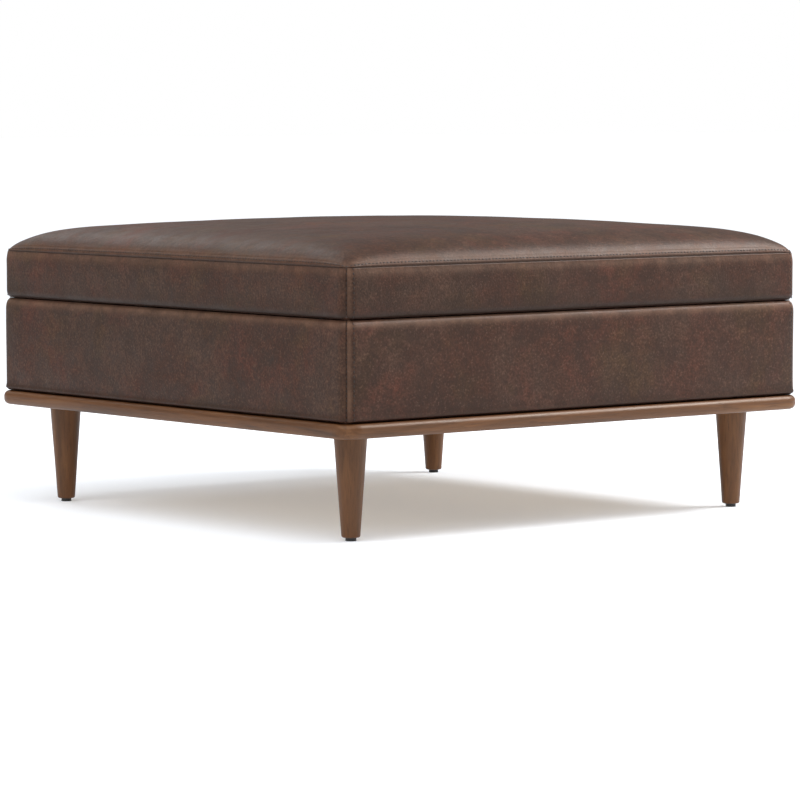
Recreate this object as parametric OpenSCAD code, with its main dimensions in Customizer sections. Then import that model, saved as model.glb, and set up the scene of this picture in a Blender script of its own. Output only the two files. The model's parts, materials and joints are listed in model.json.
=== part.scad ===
// Storage ottoman: a padded, leather-covered box on a thin wooden base with four turned legs,
// closed by a hinged lid that carries a crowned seat cushion.
// The origin is on the floor under the middle. +Z is up, and the front faces -Y.

/* [Overall] */
// Width of the wooden base, left to right
overall_w = 914; // [760:1:1100]
// Depth of the wooden base, front to back
overall_d = 914; // [760:1:1100]

/* [Legs] */
// Length of the wooden leg, from its glide to the base
leg_h = 151; // [110:1:190]
// Diameter of the leg at the base
leg_top_d = 50; // [40:1:60]
// Diameter of the leg at its foot
leg_bottom_d = 28; // [22:1:34]
// Distance of the leg's centre from the left or right edge of the base
leg_inset_x = 76; // [70:1:92]
// Distance of the leg's centre from the front or back edge of the base
leg_inset_y = 85; // [70:1:102]
// Radius of the softened edge round the foot
foot_round = 3; // [1:0.5:5]
// Diameter of the glide under each leg
glide_d = 16; // [12:1:20]
// Thickness of the glide
glide_t = 5; // [3:0.5:8]
// Diameter of the nail that holds the glide
glide_nail_d = 3; // [2:0.5:4]
// Length of the glide's nail
glide_nail_l = 16; // [10:1:25]

/* [Base] */
// Thickness of the base rails
base_t = 22; // [18.2:0.1:30]
// Width of each base rail
rail_w = 60; // [50:1:72]
// Radius of the base's corners, seen from above
base_corner_r = 31; // [25:1:40]
// Radius of the rounded edge of the base
base_edge_r = 9; // [4:0.5:9]
// Side of the square block inside each corner of the base
block_side = 90; // [75:1:110]
// Cut across the block's inner corner
block_chamfer = 35; // [20:1:45]
// Diameter of the dowels in the base
dowel_d = 8; // [6:1:10]
// Length of the dowels
dowel_l = 40; // [30:1:50]

/* [Box] */
// Distance of the box's leather face from the edge of the base
box_inset = 6; // [4:0.5:10]
// Shadow gap between the base and the leather
shadow_gap = 3.5; // [2:0.5:6]
// Height of the leather-covered box
box_h = 143.5; // [118:0.5:180]
// Thickness of the box's side panels
panel_t = 15; // [14:0.5:18]
// Thickness of the box's bottom board
board_t = 15; // [12:0.5:20]

/* [Upholstery] */
// Thickness of the leather
leather_t = 1.5; // [1:0.1:2]
// Thickness of the padding under the box's leather
padding_t = 5; // [3:0.5:6]
// Radius of the upholstery's vertical corners
cover_corner_r = 20; // [18:0.5:24]
// How far in the rounding of the box's top edge goes
box_round_in = 6; // [4:0.5:6.5]
// How far down the rounding of the box's top edge goes
box_round_down = 16; // [8:0.5:20]
// How far the leather turns down inside the box
cover_lip = 25; // [15:1:35]
// Thickness of the lining cloth
lining_t = 1; // [0.5:0.1:1.5]

/* [Lid] */
// Gap between the box and the closed lid
lid_gap = 4; // [3.3:0.1:5]
// Distance of the lid's leather face from the edge of the base
lid_inset = 7; // [5:0.5:10]
// Height of the lid's side band, up to the seam
boxing_h = 73.5; // [55:0.5:95]
// Height of the crown above the seam
crown_h = 54.5; // [35:0.5:70]
// Thickness of the board in the lid
lid_board_t = 12; // [10:0.5:18]
// How far in the rounding of the lid's lower edge goes
lid_round_in = 6; // [4:0.5:6.5]
// How far up the rounding of the lid's lower edge goes
lid_round_up = 10; // [6:0.5:14]
// How far the lid's leather turns in under the board
lid_wrap = 26; // [25:0.5:32]

/* [Hinges] */
// Length of each hinge
hinge_l = 76; // [60:1:100]
// Thickness of the hinge leaves
leaf_t = 1.5; // [1:0.1:1.6]
// Radius of the hinge's barrel
barrel_r = 3.5; // [3:0.1:4]
// Diameter of the hinge pin
pin_d = 3.2; // [2.6:0.1:4]
// Distance of the outer hinges from the middle one
hinge_pitch = 300; // [200:1:340]
// Angle of the open lid
lid_open = 88; // [60:1:90]

/* [Stays] */
// Distance of the stay's lid pivot in front of the hinge axis
stay_reach = 150; // [120:1:180]
// Drop of the stay's lid pivot below the hinge axis
stay_drop = 16; // [14:1:22]
// Distance of the stay's box pivot in front of the hinge axis
stay_box_reach = 70; // [55:1:90]
// Diameter of the eyes at the ends of the stay's arms
eye_d = 18; // [16:1:22]
// Width of the stay's arms between their eyes
arm_w = 13; // [10:1:15]
// Thickness of the stay's arms
arm_t = 2.5; // [2:0.1:3]
// Thickness of the stay's brackets
bracket_t = 2; // [1.5:0.1:2.5]
// Diameter of the stay's rivets
rivet_d = 6; // [5:0.5:8]
// Thickness of a rivet's head
rivet_head_t = 1.2; // [1:0.1:1.5]

/* [Screws] */
// Diameter of the long wood screws
long_screw_d = 4; // [3:0.5:5]
// Length of the long wood screws
long_screw_l = 40; // [30:1:50]
// Diameter of the hinge and stay screws
short_screw_d = 3.5; // [3:0.1:4]
// Length of the hinge and stay screws
short_screw_l = 13; // [10:0.5:14]
// Diameter of the hanger bolts in the legs
bolt_d = 8; // [6:1:10]

/* [Hidden] */
$fn = 48;

wood = "#6f4a33";
ply = "#c9ab80";
leather = "#523f38";
cloth = "#3b3734";
foam = "#d8cfa8";
steel = "#8f9296";
plastic = "#1d1c1b";

// Clearances
screw_fit = 0.1;
pin_fit = 0.05;
elbow_fit = 0.3;
plate_play = 0.5;
head_play = 0.2;
knuckle_play = 0.2;
barrel_play = 0.7;
barrel_margin = 1;
stay_floor_gap = 6;
bumper_play = 0.1;

// The sides of a ring, in quarter turns from the front
FRONT = 0;
RIGHT = 1;
BACK = 2;
LEFT = 3;

// Heights, from the floor up
base_z = glide_t + leg_h;
base_top = base_z + base_t;
cover_z = base_top + shadow_gap;
box_top = cover_z + box_h;
panel_z = cover_z + leather_t;
panel_top = box_top - leather_t;
floor_z = base_top + board_t;
floor_top = floor_z + lining_t;
lid_z = box_top + lid_gap;
lid_board_z = lid_z + leather_t;
seam_z = lid_z + boxing_h;
total_h = seam_z + crown_h;

// Distances in from the edge of the base
panel_inset = box_inset + leather_t + padding_t;
cavity_inset = panel_inset + panel_t;
lid_board_inset = lid_inset + leather_t + padding_t;
lining_edge = 22;

// Half sizes of the storage space inside its lining, and of the lid
wall_x = overall_w / 2 - cavity_inset - lining_t;
wall_y = overall_d / 2 - cavity_inset - lining_t;
lid_half_x = overall_w / 2 - lid_inset;
lid_half_y = overall_d / 2 - lid_inset;
lid_half_short = min(lid_half_x, lid_half_y);

// The hinge axis runs along X behind the gap, inside the edge of the base
hinge_y = overall_d / 2 - barrel_margin - barrel_r;
hinge_z = box_top + lid_gap / 2;
hinge_screw_y = overall_d / 2 - panel_inset - panel_t / 2;
leaf_margin = 5;
leaf_reach = hinge_y - hinge_screw_y + leaf_margin;
knuckles = 5;
knuckle_l = hinge_l / knuckles;
hinge_x = [-hinge_pitch, 0, hinge_pitch];

// The stay is a parallelogram of the hinge axis, its lid pivot, its elbow and its box pivot,
// given here as [y, z]
hinge_at = [hinge_y, hinge_z];
lid_pivot = hinge_at - [stay_reach, stay_drop];
elbow = [lid_pivot.x - stay_box_reach, floor_top + stay_floor_gap + eye_d / 2];
box_pivot = hinge_at + elbow - lid_pivot;
box_arm_x = wall_x - bracket_t - plate_play - arm_t;
lid_arm_x = box_arm_x - plate_play - arm_t;
lid_flange_x = lid_arm_x - plate_play - bracket_t;
bracket_half = 20;
bracket_rise = 34;
flange_half = 14;
flange_w = 27;
stay_screw_side = 13;
stay_screw_rise = 24;

// Shape of the cushion's crown: rings of a rounded square, closer together near the seam
crown_rings = 10;
crown_cap = 5;
corner_steps = 5;
crown_share = 0.7;
crown_power = 13;
crown_root = 0.66;
crown_corner_growth = 0.6;

function run(side, inset) = (side % 2 == 0 ? overall_w : overall_d) - 2 * inset;
function half(side, inset) = (side % 2 == 0 ? overall_d : overall_w) / 2 - inset;

// Quarter of an ellipse between an upright face at x and a level face at z
function top_round(x, z, in, down, steps = 6) =
    [for (i = [0:steps]) let (a = 90 * i / steps) [x + in * (1 - cos(a)), z - down * (1 - sin(a))]];
function bottom_round(x, z, in, up, steps = 6) =
    [for (i = [0:steps]) let (a = 90 * i / steps) [x + in * (1 - sin(a)), z + up * (1 - cos(a))]];
function reversed(list) = [for (i = [len(list) - 1:-1:0]) list[i]];

// Rise of the cushion's top above its seam, at a distance in from its edge
function crown_rise(inset) =
    let (u = 1 - inset / (lid_half_short - crown_cap))
    crown_share * pow(1 - pow(u, crown_power), crown_root) + (1 - crown_share) * (1 - u * u);
function crown_inset(i) = (lid_half_short - crown_cap) * (1 - cos(90 * i / crown_rings));

// Level outline of the lid at a distance in from its face
function ring(inset, z) =
    let (grown = cover_corner_r - leather_t + crown_corner_growth * inset,
         r = min(grown, 0.9 * (lid_half_short - inset)))
    [for (c = [0:3], k = [0:corner_steps])
        let (a = 90 * c + 90 * k / corner_steps, sx = c == 0 || c == 3 ? 1 : -1, sy = c < 2 ? 1 : -1)
        [sx * (lid_half_x - inset - r) + r * cos(a), sy * (lid_half_y - inset - r) + r * sin(a), z]];

// Skin or solid through a list of level outlines, closed at both ends
module loft(rings) {
    n = len(rings[0]);
    last = len(rings) - 1;
    polyhedron(
        points = [for (outline = rings) each outline],
        faces = concat(
            [[for (k = [0:n - 1]) k]],
            [for (i = [0:last - 1], k = [0:n - 1])
                [i * n + k, (i + 1) * n + k, (i + 1) * n + (k + 1) % n, i * n + (k + 1) % n]],
            [[for (k = [n - 1:-1:0]) last * n + k]]));
}

module rounded_square(w, d, r) {
    square([w - 2 * r, d], center = true);
    square([w, d - 2 * r], center = true);
    for (x = [-1, 1], y = [-1, 1])
        translate([x * (w / 2 - r), y * (d / 2 - r)]) circle(r);
}

// One side of a four-sided ring with round, mitred corners. The child is its cross-section:
// x is the distance in from the outer face, and y is the height.
module ring_side(side, inset, corner_r, depth) {
    straight = run(side, inset) - 2 * corner_r;
    cut = depth - corner_r + 1;
    rotate([0, 0, 90 * side])
        translate([0, -half(side, inset), 0]) {
            difference() {
                translate([-straight / 2, 0, 0])
                    rotate([90, 0, 90])
                        linear_extrude(straight) children();
                if (depth > corner_r)
                    for (end = [0, 1])
                        mirror([end, 0, 0])
                            translate([straight / 2, corner_r, 0])
                                linear_extrude(total_h)
                                    polygon([[0, 0], [1, 0], [1, cut], [-cut, cut]]);
            }
            for (end = [0, 1])
                mirror([end, 0, 0])
                    translate([straight / 2, corner_r, 0])
                        rotate([0, 0, -90])
                            rotate_extrude(angle = 45)
                                intersection() {
                                    translate([corner_r, 0]) mirror([1, 0]) children();
                                    square([corner_r, total_h]);
                                }
        }
}

// Countersunk wood screw, driven along +Z from its head's face at the origin
module wood_screw(d, l, fit = 0) {
    cylinder(h = l + fit, d = d + 2 * fit);
    cylinder(h = d / 2 + fit, d1 = 2 * d + 2 * fit, d2 = d + 2 * fit);
}

module at_legs() {
    for (x = [-1, 1], y = [-1, 1])
        translate([x * (overall_w / 2 - leg_inset_x), y * (overall_d / 2 - leg_inset_y), 0]) children();
}

module rail_section() {
    translate([base_edge_r, base_z]) square([rail_w - base_edge_r, base_t]);
    translate([0, base_z + base_edge_r]) square([rail_w, base_t - 2 * base_edge_r]);
    for (z = [base_z + base_edge_r, base_top - base_edge_r])
        translate([base_edge_r, z]) circle(base_edge_r);
}

module base_rail(side) {
    color(wood)
        difference() {
            ring_side(side, 0, base_corner_r, rail_w) rail_section();
            at_legs() tee_nut(screw_fit);
            dowels(screw_fit);
            base_screws(screw_fit);
        }
}

module base_cross_rail() {
    color(wood)
        difference() {
            translate([-rail_w / 2, -overall_d / 2 + rail_w, base_z])
                cube([rail_w, overall_d - 2 * rail_w, base_t]);
            dowels(screw_fit);
        }
}

// Flush with the rails, it carries the leg's nut. x and y are the signs of its corner.
module corner_block(x, y) {
    color(ply)
        difference() {
            mirror([x > 0 ? 1 : 0, 0, 0])
                mirror([0, y > 0 ? 1 : 0, 0])
                    translate([rail_w - overall_w / 2, rail_w - overall_d / 2, base_z])
                        linear_extrude(base_t)
                            polygon([[0, 0], [block_side, 0], [block_side, block_side - block_chamfer],
                                     [block_side - block_chamfer, block_side], [0, block_side]]);
            at_legs() tee_nut(screw_fit);
            dowels(screw_fit);
        }
}

dowel_places = [38, 72];
cross_dowel_half = 15;

// Dowels across the joints between the rails, the blocks and the cross rail
module dowels(fit = 0) {
    z = base_z + base_t / 2;
    l = dowel_l + 2 * fit;
    for (x = [0, 1], y = [0, 1])
        mirror([x, 0, 0])
            mirror([0, y, 0])
                for (p = dowel_places) {
                    translate([rail_w + p - overall_w / 2, rail_w - overall_d / 2 - l / 2, z])
                        rotate([-90, 0, 0]) cylinder(h = l, d = dowel_d + 2 * fit);
                    translate([rail_w - overall_w / 2 - l / 2, rail_w + p - overall_d / 2, z])
                        rotate([0, 90, 0]) cylinder(h = l, d = dowel_d + 2 * fit);
                }
    for (x = [-1, 1], y = [0, 1])
        mirror([0, y, 0])
            translate([x * cross_dowel_half, rail_w - overall_d / 2 - l / 2, z])
                rotate([-90, 0, 0]) cylinder(h = l, d = dowel_d + 2 * fit);
}

leg_bolt_depth = 30;
nut_flange_t = 1.5;
nut_flange_r = 10;
nut_barrel_r = 5.5;
nut_depth = 14;
bolt_top_gap = 2;

module leg(x, y) {
    top_r = leg_top_d / 2;
    foot_r = leg_bottom_d / 2;
    foot = [for (i = [0:4]) let (a = 90 * i / 4) [foot_r - foot_round * (1 - sin(a)),
                                                 glide_t + foot_round * (1 - cos(a))]];
    color(wood)
        translate([x * (overall_w / 2 - leg_inset_x), y * (overall_d / 2 - leg_inset_y), 0])
            difference() {
                rotate_extrude()
                    polygon(concat([[0, glide_t]], foot, [[top_r, base_z], [0, base_z]]));
                hanger_bolt(screw_fit);
                glide_nail(screw_fit);
            }
}

module hanger_bolt(fit = 0) {
    translate([0, 0, base_z - leg_bolt_depth - fit])
        cylinder(h = leg_bolt_depth + base_t - bolt_top_gap + fit, d = bolt_d + 2 * fit);
}

module tee_nut(fit = 0) {
    translate([0, 0, base_top - nut_flange_t - fit])
        cylinder(h = nut_flange_t + fit, r = nut_flange_r + fit);
    translate([0, 0, base_top - nut_depth - fit])
        cylinder(h = nut_depth + fit, r = nut_barrel_r + fit);
    if (fit > 0) hanger_bolt(fit);
}

module glide_nail(fit = 0) {
    translate([0, 0, glide_t]) cylinder(h = glide_nail_l + fit, d = glide_nail_d + 2 * fit);
}

module leg_hanger_bolts() {
    color(steel) at_legs() hanger_bolt();
}

module leg_tee_nuts() {
    color(steel)
        at_legs()
            difference() {
                tee_nut();
                hanger_bolt(screw_fit);
            }
}

module leg_glides() {
    color(plastic)
        at_legs() {
            cylinder(h = glide_t, d = glide_d);
            glide_nail();
        }
}

base_screw_inset = 44;

// Screws up through the rails into the bottom board, between the screws that hold that board
module base_screws(fit = 0) {
    for (side = [FRONT, RIGHT, BACK, LEFT], place = [-1, 1])
        rotate([0, 0, 90 * side])
            translate([place * run(side, 0) / 4, base_screw_inset - half(side, 0), base_z])
                wood_screw(long_screw_d, base_t + board_t - bolt_top_gap, fit);
}

module box_long_panel(side) {
    l = run(side, panel_inset);
    color(ply)
        difference() {
            rotate([0, 0, 90 * side])
                translate([0, -half(side, panel_inset), panel_z])
                    linear_extrude(panel_top - panel_z)
                        intersection() {
                            translate([-l / 2, 0]) square([l, panel_t]);
                            translate([0, 2 * panel_t]) rounded_square(l, 4 * panel_t, panel_corner_r);
                        }
            panel_screws(screw_fit);
            hinge_screws(-1, screw_fit);
        }
}

module box_side_panel(side) {
    l = run(side, cavity_inset);
    color(ply)
        difference() {
            rotate([0, 0, 90 * side])
                translate([-l / 2, -half(side, panel_inset), panel_z])
                    cube([l, panel_t, panel_top - panel_z]);
            panel_screws(screw_fit);
            stay_box_screw_set(screw_fit);
        }
}

// The corner screws stand nearer the side panel's inner face, and their heads are sunk to clear
// the rounded corner of the long panel
panel_corner_r = cover_corner_r - leather_t - padding_t;
corner_screw_rise = 30;
corner_screw_in = panel_t / 3;
corner_head_reach = panel_corner_r - panel_t + corner_screw_in + long_screw_d;
corner_screw_sink = panel_corner_r - sqrt(pow(panel_corner_r, 2) - pow(corner_head_reach, 2));

// Screws through the panels into each other's ends and into the edge of the bottom board
module panel_screws(fit = 0) {
    for (side = [FRONT, BACK], end = [-1, 1], z = [panel_z + corner_screw_rise, panel_top - corner_screw_rise])
        rotate([0, 0, 90 * side])
            translate([end * (run(side, cavity_inset) / 2 + corner_screw_in),
                       corner_screw_sink - half(side, panel_inset), z])
                rotate([-90, 0, 0]) {
                    wood_screw(long_screw_d, long_screw_l, fit);
                    if (fit > 0)
                        translate([0, 0, -corner_screw_sink])
                            cylinder(h = corner_screw_sink, r = long_screw_d + fit);
                }
    for (side = [FRONT, RIGHT, BACK, LEFT], place = [-1, 0, 1])
        rotate([0, 0, 90 * side])
            translate([place * run(side, panel_inset) / 3, -half(side, panel_inset), (panel_z + floor_z) / 2])
                rotate([-90, 0, 0]) wood_screw(long_screw_d, long_screw_l, fit);
}

module box_bottom_board() {
    color(ply)
        difference() {
            translate([0, 0, base_top])
                linear_extrude(board_t)
                    square([overall_w - 2 * cavity_inset, overall_d - 2 * cavity_inset], center = true);
            panel_screws(screw_fit);
            base_screws(screw_fit);
        }
}

// Foam sheet between the panels and the leather
module padding_section() {
    polygon(concat(
        [[leather_t + padding_t, panel_z], [leather_t, panel_z]],
        top_round(leather_t, panel_top, box_round_in - leather_t, box_round_down - leather_t),
        [[leather_t + padding_t, panel_top]]));
}

module box_padding() {
    color(foam)
        for (side = [FRONT, RIGHT, BACK, LEFT])
            ring_side(side, box_inset, cover_corner_r, leather_t + padding_t) padding_section();
}

cover_foot_r = 2;

// Leather over the outside and the top edge of a panel, turned in below and down inside
module cover_section() {
    inner = leather_t + padding_t + panel_t;
    lip_z = box_top - cover_lip;
    polygon(concat(
        bottom_round(0, cover_z, cover_foot_r, cover_foot_r, 3),
        top_round(0, box_top, box_round_in, box_round_down),
        [[inner + leather_t, box_top], [inner + leather_t, lip_z], [inner, lip_z], [inner, panel_top]],
        reversed(top_round(leather_t, panel_top, box_round_in - leather_t, box_round_down - leather_t)),
        [[leather_t, panel_z], [inner, panel_z], [inner, cover_z]]));
}

module box_cover(side) {
    color(leather)
        difference() {
            ring_side(side, box_inset, cover_corner_r, 2 * leather_t + padding_t + panel_t) cover_section();
            hinge_screws(-1, screw_fit);
        }
}

module wall_lining() {
    h = box_top - cover_lip - floor_top;
    color(cloth)
        difference() {
            translate([0, 0, floor_top])
                linear_extrude(h)
                    difference() {
                        square([overall_w - 2 * cavity_inset, overall_d - 2 * cavity_inset], center = true);
                        square([2 * wall_x, 2 * wall_y], center = true);
                    }
            stay_box_screw_set(screw_fit);
        }
}

module floor_lining() {
    color(cloth)
        translate([0, 0, floor_z])
            linear_extrude(lining_t)
                square([overall_w - 2 * cavity_inset, overall_d - 2 * cavity_inset], center = true);
}

bumper_r = 4.5;
bumper_front_inset = 77;
bumper_side_y = 60;

// Rubber buttons on the box's top edge, which the closed lid rests on
module lid_bumpers() {
    x = overall_w / 2 - panel_inset - panel_t / 2;
    color(plastic)
        for (s = [-1, 1], y = [bumper_front_inset - overall_d / 2, bumper_side_y])
            translate([s * x, y, box_top])
                cylinder(h = lid_gap - bumper_play, r = bumper_r);
}

module lid_board_blank() {
    r = cover_corner_r - leather_t - padding_t;
    translate([0, 0, lid_board_z])
        linear_extrude(lid_board_t)
            rounded_square(overall_w - 2 * lid_board_inset, overall_d - 2 * lid_board_inset, r);
}

module lid_board() {
    color(ply)
        difference() {
            lid_board_blank();
            hinge_screws(1, screw_fit);
            stay_lid_screw_set(screw_fit);
        }
}

foam_foot = 2;

module lid_foam() {
    color(foam)
        difference() {
            loft(concat(
                [ring(leather_t + padding_t - foam_foot, lid_board_z + foam_foot),
                 ring(leather_t, lid_z + lid_round_up), ring(leather_t, seam_z - leather_t)],
                [for (i = [1:crown_rings])
                    ring(crown_inset(i), seam_z - leather_t + crown_h * crown_rise(crown_inset(i)))]));
            lid_board_blank();
        }
}

// Crowned panel on top of the cushion, sewn to the side band
module lid_top_panel() {
    outer = [for (i = [0:crown_rings])
        ring(crown_inset(i), seam_z + crown_h * crown_rise(crown_inset(i)))];
    inner = [for (i = [crown_rings:-1:1])
        ring(crown_inset(i), seam_z - leather_t + crown_h * crown_rise(crown_inset(i)))];
    color(leather) loft(concat(inner, [ring(leather_t, seam_z)], outer));
}

// Leather side band of the cushion, turned in under the lid's board
module boxing_section() {
    polygon(concat(
        [[lid_wrap, lid_z]],
        bottom_round(0, lid_z, lid_round_in, lid_round_up),
        [[0, seam_z], [leather_t, seam_z]],
        reversed(bottom_round(leather_t, lid_board_z, lid_round_in - leather_t, lid_round_up - leather_t)),
        [[lid_wrap, lid_board_z]]));
}

module lid_boxing() {
    color(leather)
        difference() {
            for (side = [FRONT, RIGHT, BACK, LEFT])
                ring_side(side, lid_inset, cover_corner_r, lid_wrap) boxing_section();
            hinge_screws(1, screw_fit);
        }
}

module lid_lining() {
    inner = lid_inset + lid_wrap;
    outer = lid_inset + lining_edge;
    color(cloth)
        difference() {
            union() {
                translate([0, 0, lid_z - lining_t])
                    linear_extrude(lining_t)
                        square([overall_w - 2 * outer, overall_d - 2 * outer], center = true);
                translate([0, 0, lid_z])
                    linear_extrude(leather_t)
                        square([overall_w - 2 * inner, overall_d - 2 * inner], center = true);
            }
            stay_lid_screw_set(screw_fit);
        }
}

hinge_screw_pitch = 26;

// A leaf below the axis, with its knuckles; first is its first knuckle and every second one follows
module hinge_leaf(first) {
    bottom = -lid_gap / 2;
    neck = barrel_r + barrel_play;
    difference() {
        union() {
            translate([-hinge_l / 2, -leaf_reach, bottom])
                cube([hinge_l, leaf_reach - neck, leaf_t]);
            for (k = [first:2:knuckles - 1])
                translate([k * knuckle_l - hinge_l / 2 + knuckle_play / 2, 0, 0]) {
                    rotate([0, 90, 0]) cylinder(h = knuckle_l - knuckle_play, r = barrel_r);
                    translate([0, -neck - 1, bottom])
                        cube([knuckle_l - knuckle_play, neck + 1, leaf_t]);
                }
        }
        translate([-hinge_l / 2 - 1, 0, 0])
            rotate([0, 90, 0]) cylinder(h = hinge_l + 2, d = pin_d + 2 * pin_fit);
        for (k = [-1:1])
            translate([k * hinge_screw_pitch, hinge_screw_y - hinge_y, bottom + leaf_t])
                mirror([0, 0, 1]) wood_screw(short_screw_d, short_screw_l, screw_fit);
    }
}

module box_leaf(x) {
    color(steel) translate([x, hinge_y, hinge_z]) hinge_leaf(0);
}

module lid_leaf(x) {
    color(steel) translate([x, hinge_y, hinge_z]) mirror([0, 0, 1]) hinge_leaf(1);
}

module hinge_pins() {
    color(steel)
        for (x = hinge_x)
            translate([x - hinge_l / 2, hinge_y, hinge_z])
                rotate([0, 90, 0]) cylinder(h = hinge_l, d = pin_d);
}

// Screws of the box leaves (way = -1) or of the lid leaves (way = 1)
module hinge_screws(way, fit = 0) {
    for (x = hinge_x, k = [-1:1])
        translate([x + k * hinge_screw_pitch, hinge_screw_y, hinge_z + way * (lid_gap / 2 - leaf_t)])
            mirror([0, 0, way < 0 ? 1 : 0]) wood_screw(short_screw_d, short_screw_l, fit);
}

// Draws its children on the right, or mirrored on the left
module on_hand(hand) {
    mirror([hand < 0 ? 1 : 0, 0, 0]) children();
}

// Plate drawn in the plane of the stay, from x to x + t
module upright(x, t) {
    translate([x, 0, 0]) rotate([90, 0, 90]) linear_extrude(t) children();
}

module arm(x, from, to, fit_from, fit_to) {
    l = norm(to - from);
    turn = atan2(to.y - from.y, to.x - from.x);
    upright(x, arm_t)
        difference() {
            union() {
                translate(from) circle(d = eye_d);
                translate(to) circle(d = eye_d);
                translate(from) rotate(turn) translate([0, -arm_w / 2]) square([l, arm_w]);
            }
            translate(from) circle(d = rivet_d + 2 * fit_from);
            translate(to) circle(d = rivet_d + 2 * fit_to);
        }
}

module stay_box_arm(hand) {
    color(steel) on_hand(hand) arm(box_arm_x, box_pivot, elbow, pin_fit, pin_fit);
}

module stay_lid_arm(hand) {
    color(steel) on_hand(hand) arm(lid_arm_x, lid_pivot, elbow, pin_fit, elbow_fit);
}

module stay_box_bracket(hand) {
    color(steel)
        difference() {
            on_hand(hand)
                upright(wall_x - bracket_t, bracket_t)
                    difference() {
                        union() {
                            translate(box_pivot) circle(d = eye_d);
                            translate(box_pivot - [bracket_half, 0]) square([2 * bracket_half, bracket_rise]);
                        }
                        translate(box_pivot) circle(d = rivet_d + 2 * pin_fit);
                    }
            stay_box_screw_set(screw_fit);
        }
}

module stay_lid_bracket(hand) {
    flange_z = lid_z - lining_t - bracket_t;
    color(steel)
        difference() {
            on_hand(hand) {
                upright(lid_flange_x, bracket_t)
                    difference() {
                        translate(lid_pivot - [flange_half, eye_d / 2])
                            square([2 * flange_half, flange_z + bracket_t - lid_pivot.y + eye_d / 2]);
                        translate(lid_pivot) circle(d = rivet_d + 2 * pin_fit);
                    }
                translate([lid_flange_x + bracket_t - flange_w, lid_pivot.x - flange_half, flange_z])
                    cube([flange_w, 2 * flange_half, bracket_t]);
            }
            stay_lid_screw_set(screw_fit);
        }
}

// Rivet along X with a head at each end, between the two faces that it holds
module rivet(x0, x1, at, head_in, head_out) {
    translate([x0, at.x, at.y])
        rotate([0, 90, 0]) cylinder(h = x1 - x0, d = rivet_d);
    if (head_in)
        translate([x0 - rivet_head_t, at.x, at.y])
            rotate([0, 90, 0]) cylinder(h = rivet_head_t, d = rivet_d + 4);
    if (head_out)
        translate([x1, at.x, at.y])
            rotate([0, 90, 0]) cylinder(h = rivet_head_t, d = rivet_d + 4);
}

module stay_box_rivets() {
    color(steel)
        for (hand = [-1, 1])
            on_hand(hand) rivet(box_arm_x - head_play, wall_x, box_pivot, true, false);
}

module stay_lid_rivets() {
    color(steel)
        for (hand = [-1, 1])
            on_hand(hand) rivet(lid_flange_x, lid_arm_x + arm_t + head_play, lid_pivot, true, true);
}

module stay_elbow_rivet(hand) {
    color(steel)
        on_hand(hand) rivet(lid_arm_x - head_play, box_arm_x + arm_t, elbow, true, true);
}

module stay_box_screw_set(fit = 0) {
    for (hand = [-1, 1], s = [-1, 1])
        on_hand(hand)
            translate([wall_x - bracket_t, box_pivot.x + s * stay_screw_side, box_pivot.y + stay_screw_rise])
                rotate([0, 90, 0]) wood_screw(short_screw_d, short_screw_l, fit);
}

module stay_lid_screw_set(fit = 0) {
    x = lid_flange_x - flange_w / 2;
    for (hand = [-1, 1], s = [-1, 1])
        on_hand(hand)
            translate([x, lid_pivot.x + s * flange_half / 2, lid_z - lining_t - bracket_t])
                wood_screw(short_screw_d, short_screw_l, fit);
}

base_rail(FRONT);  // base_rail_front
base_rail(RIGHT);  // base_rail_right
base_rail(BACK);  // base_rail_back
base_rail(LEFT);  // base_rail_left
base_cross_rail();
corner_block(-1, -1);  // corner_block_front_left
corner_block(1, -1);  // corner_block_front_right
corner_block(-1, 1);  // corner_block_back_left
corner_block(1, 1);  // corner_block_back_right
color(ply) dowels();  // base_dowels
leg(-1, -1);  // leg_front_left
leg(1, -1);  // leg_front_right
leg(-1, 1);  // leg_back_left
leg(1, 1);  // leg_back_right
leg_hanger_bolts();
leg_tee_nuts();
leg_glides();
box_long_panel(FRONT);  // box_front_panel
box_long_panel(BACK);  // box_back_panel
box_side_panel(LEFT);  // box_left_panel
box_side_panel(RIGHT);  // box_right_panel
box_bottom_board();
color(steel) panel_screws();  // box_panel_screws
color(steel) base_screws();  // base_to_box_screws
box_padding();
box_cover(FRONT);  // box_cover_front
box_cover(RIGHT);  // box_cover_right
box_cover(BACK);  // box_cover_back
box_cover(LEFT);  // box_cover_left
wall_lining();
floor_lining();
lid_bumpers();
lid_board();
lid_foam();
lid_top_panel();
lid_boxing();
lid_lining();
box_leaf(hinge_x[0]);  // hinge_left_box_leaf
box_leaf(hinge_x[1]);  // hinge_centre_box_leaf
box_leaf(hinge_x[2]);  // hinge_right_box_leaf
lid_leaf(hinge_x[0]);  // hinge_left_lid_leaf
lid_leaf(hinge_x[1]);  // hinge_centre_lid_leaf
lid_leaf(hinge_x[2]);  // hinge_right_lid_leaf
hinge_pins();
color(steel) hinge_screws(-1);  // hinge_box_screws
color(steel) hinge_screws(1);  // hinge_lid_screws
stay_box_bracket(-1);  // stay_left_box_bracket
stay_box_arm(-1);  // stay_left_box_arm
stay_lid_arm(-1);  // stay_left_lid_arm
stay_lid_bracket(-1);  // stay_left_lid_bracket
stay_box_bracket(1);  // stay_right_box_bracket
stay_box_arm(1);  // stay_right_box_arm
stay_lid_arm(1);  // stay_right_lid_arm
stay_lid_bracket(1);  // stay_right_lid_bracket
stay_box_rivets();
stay_lid_rivets();
stay_elbow_rivet(-1);  // stay_left_elbow_rivet
stay_elbow_rivet(1);  // stay_right_elbow_rivet
color(steel) stay_box_screw_set();  // stay_box_screws
color(steel) stay_lid_screw_set();  // stay_lid_screws
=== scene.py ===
import json
import math

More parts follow.
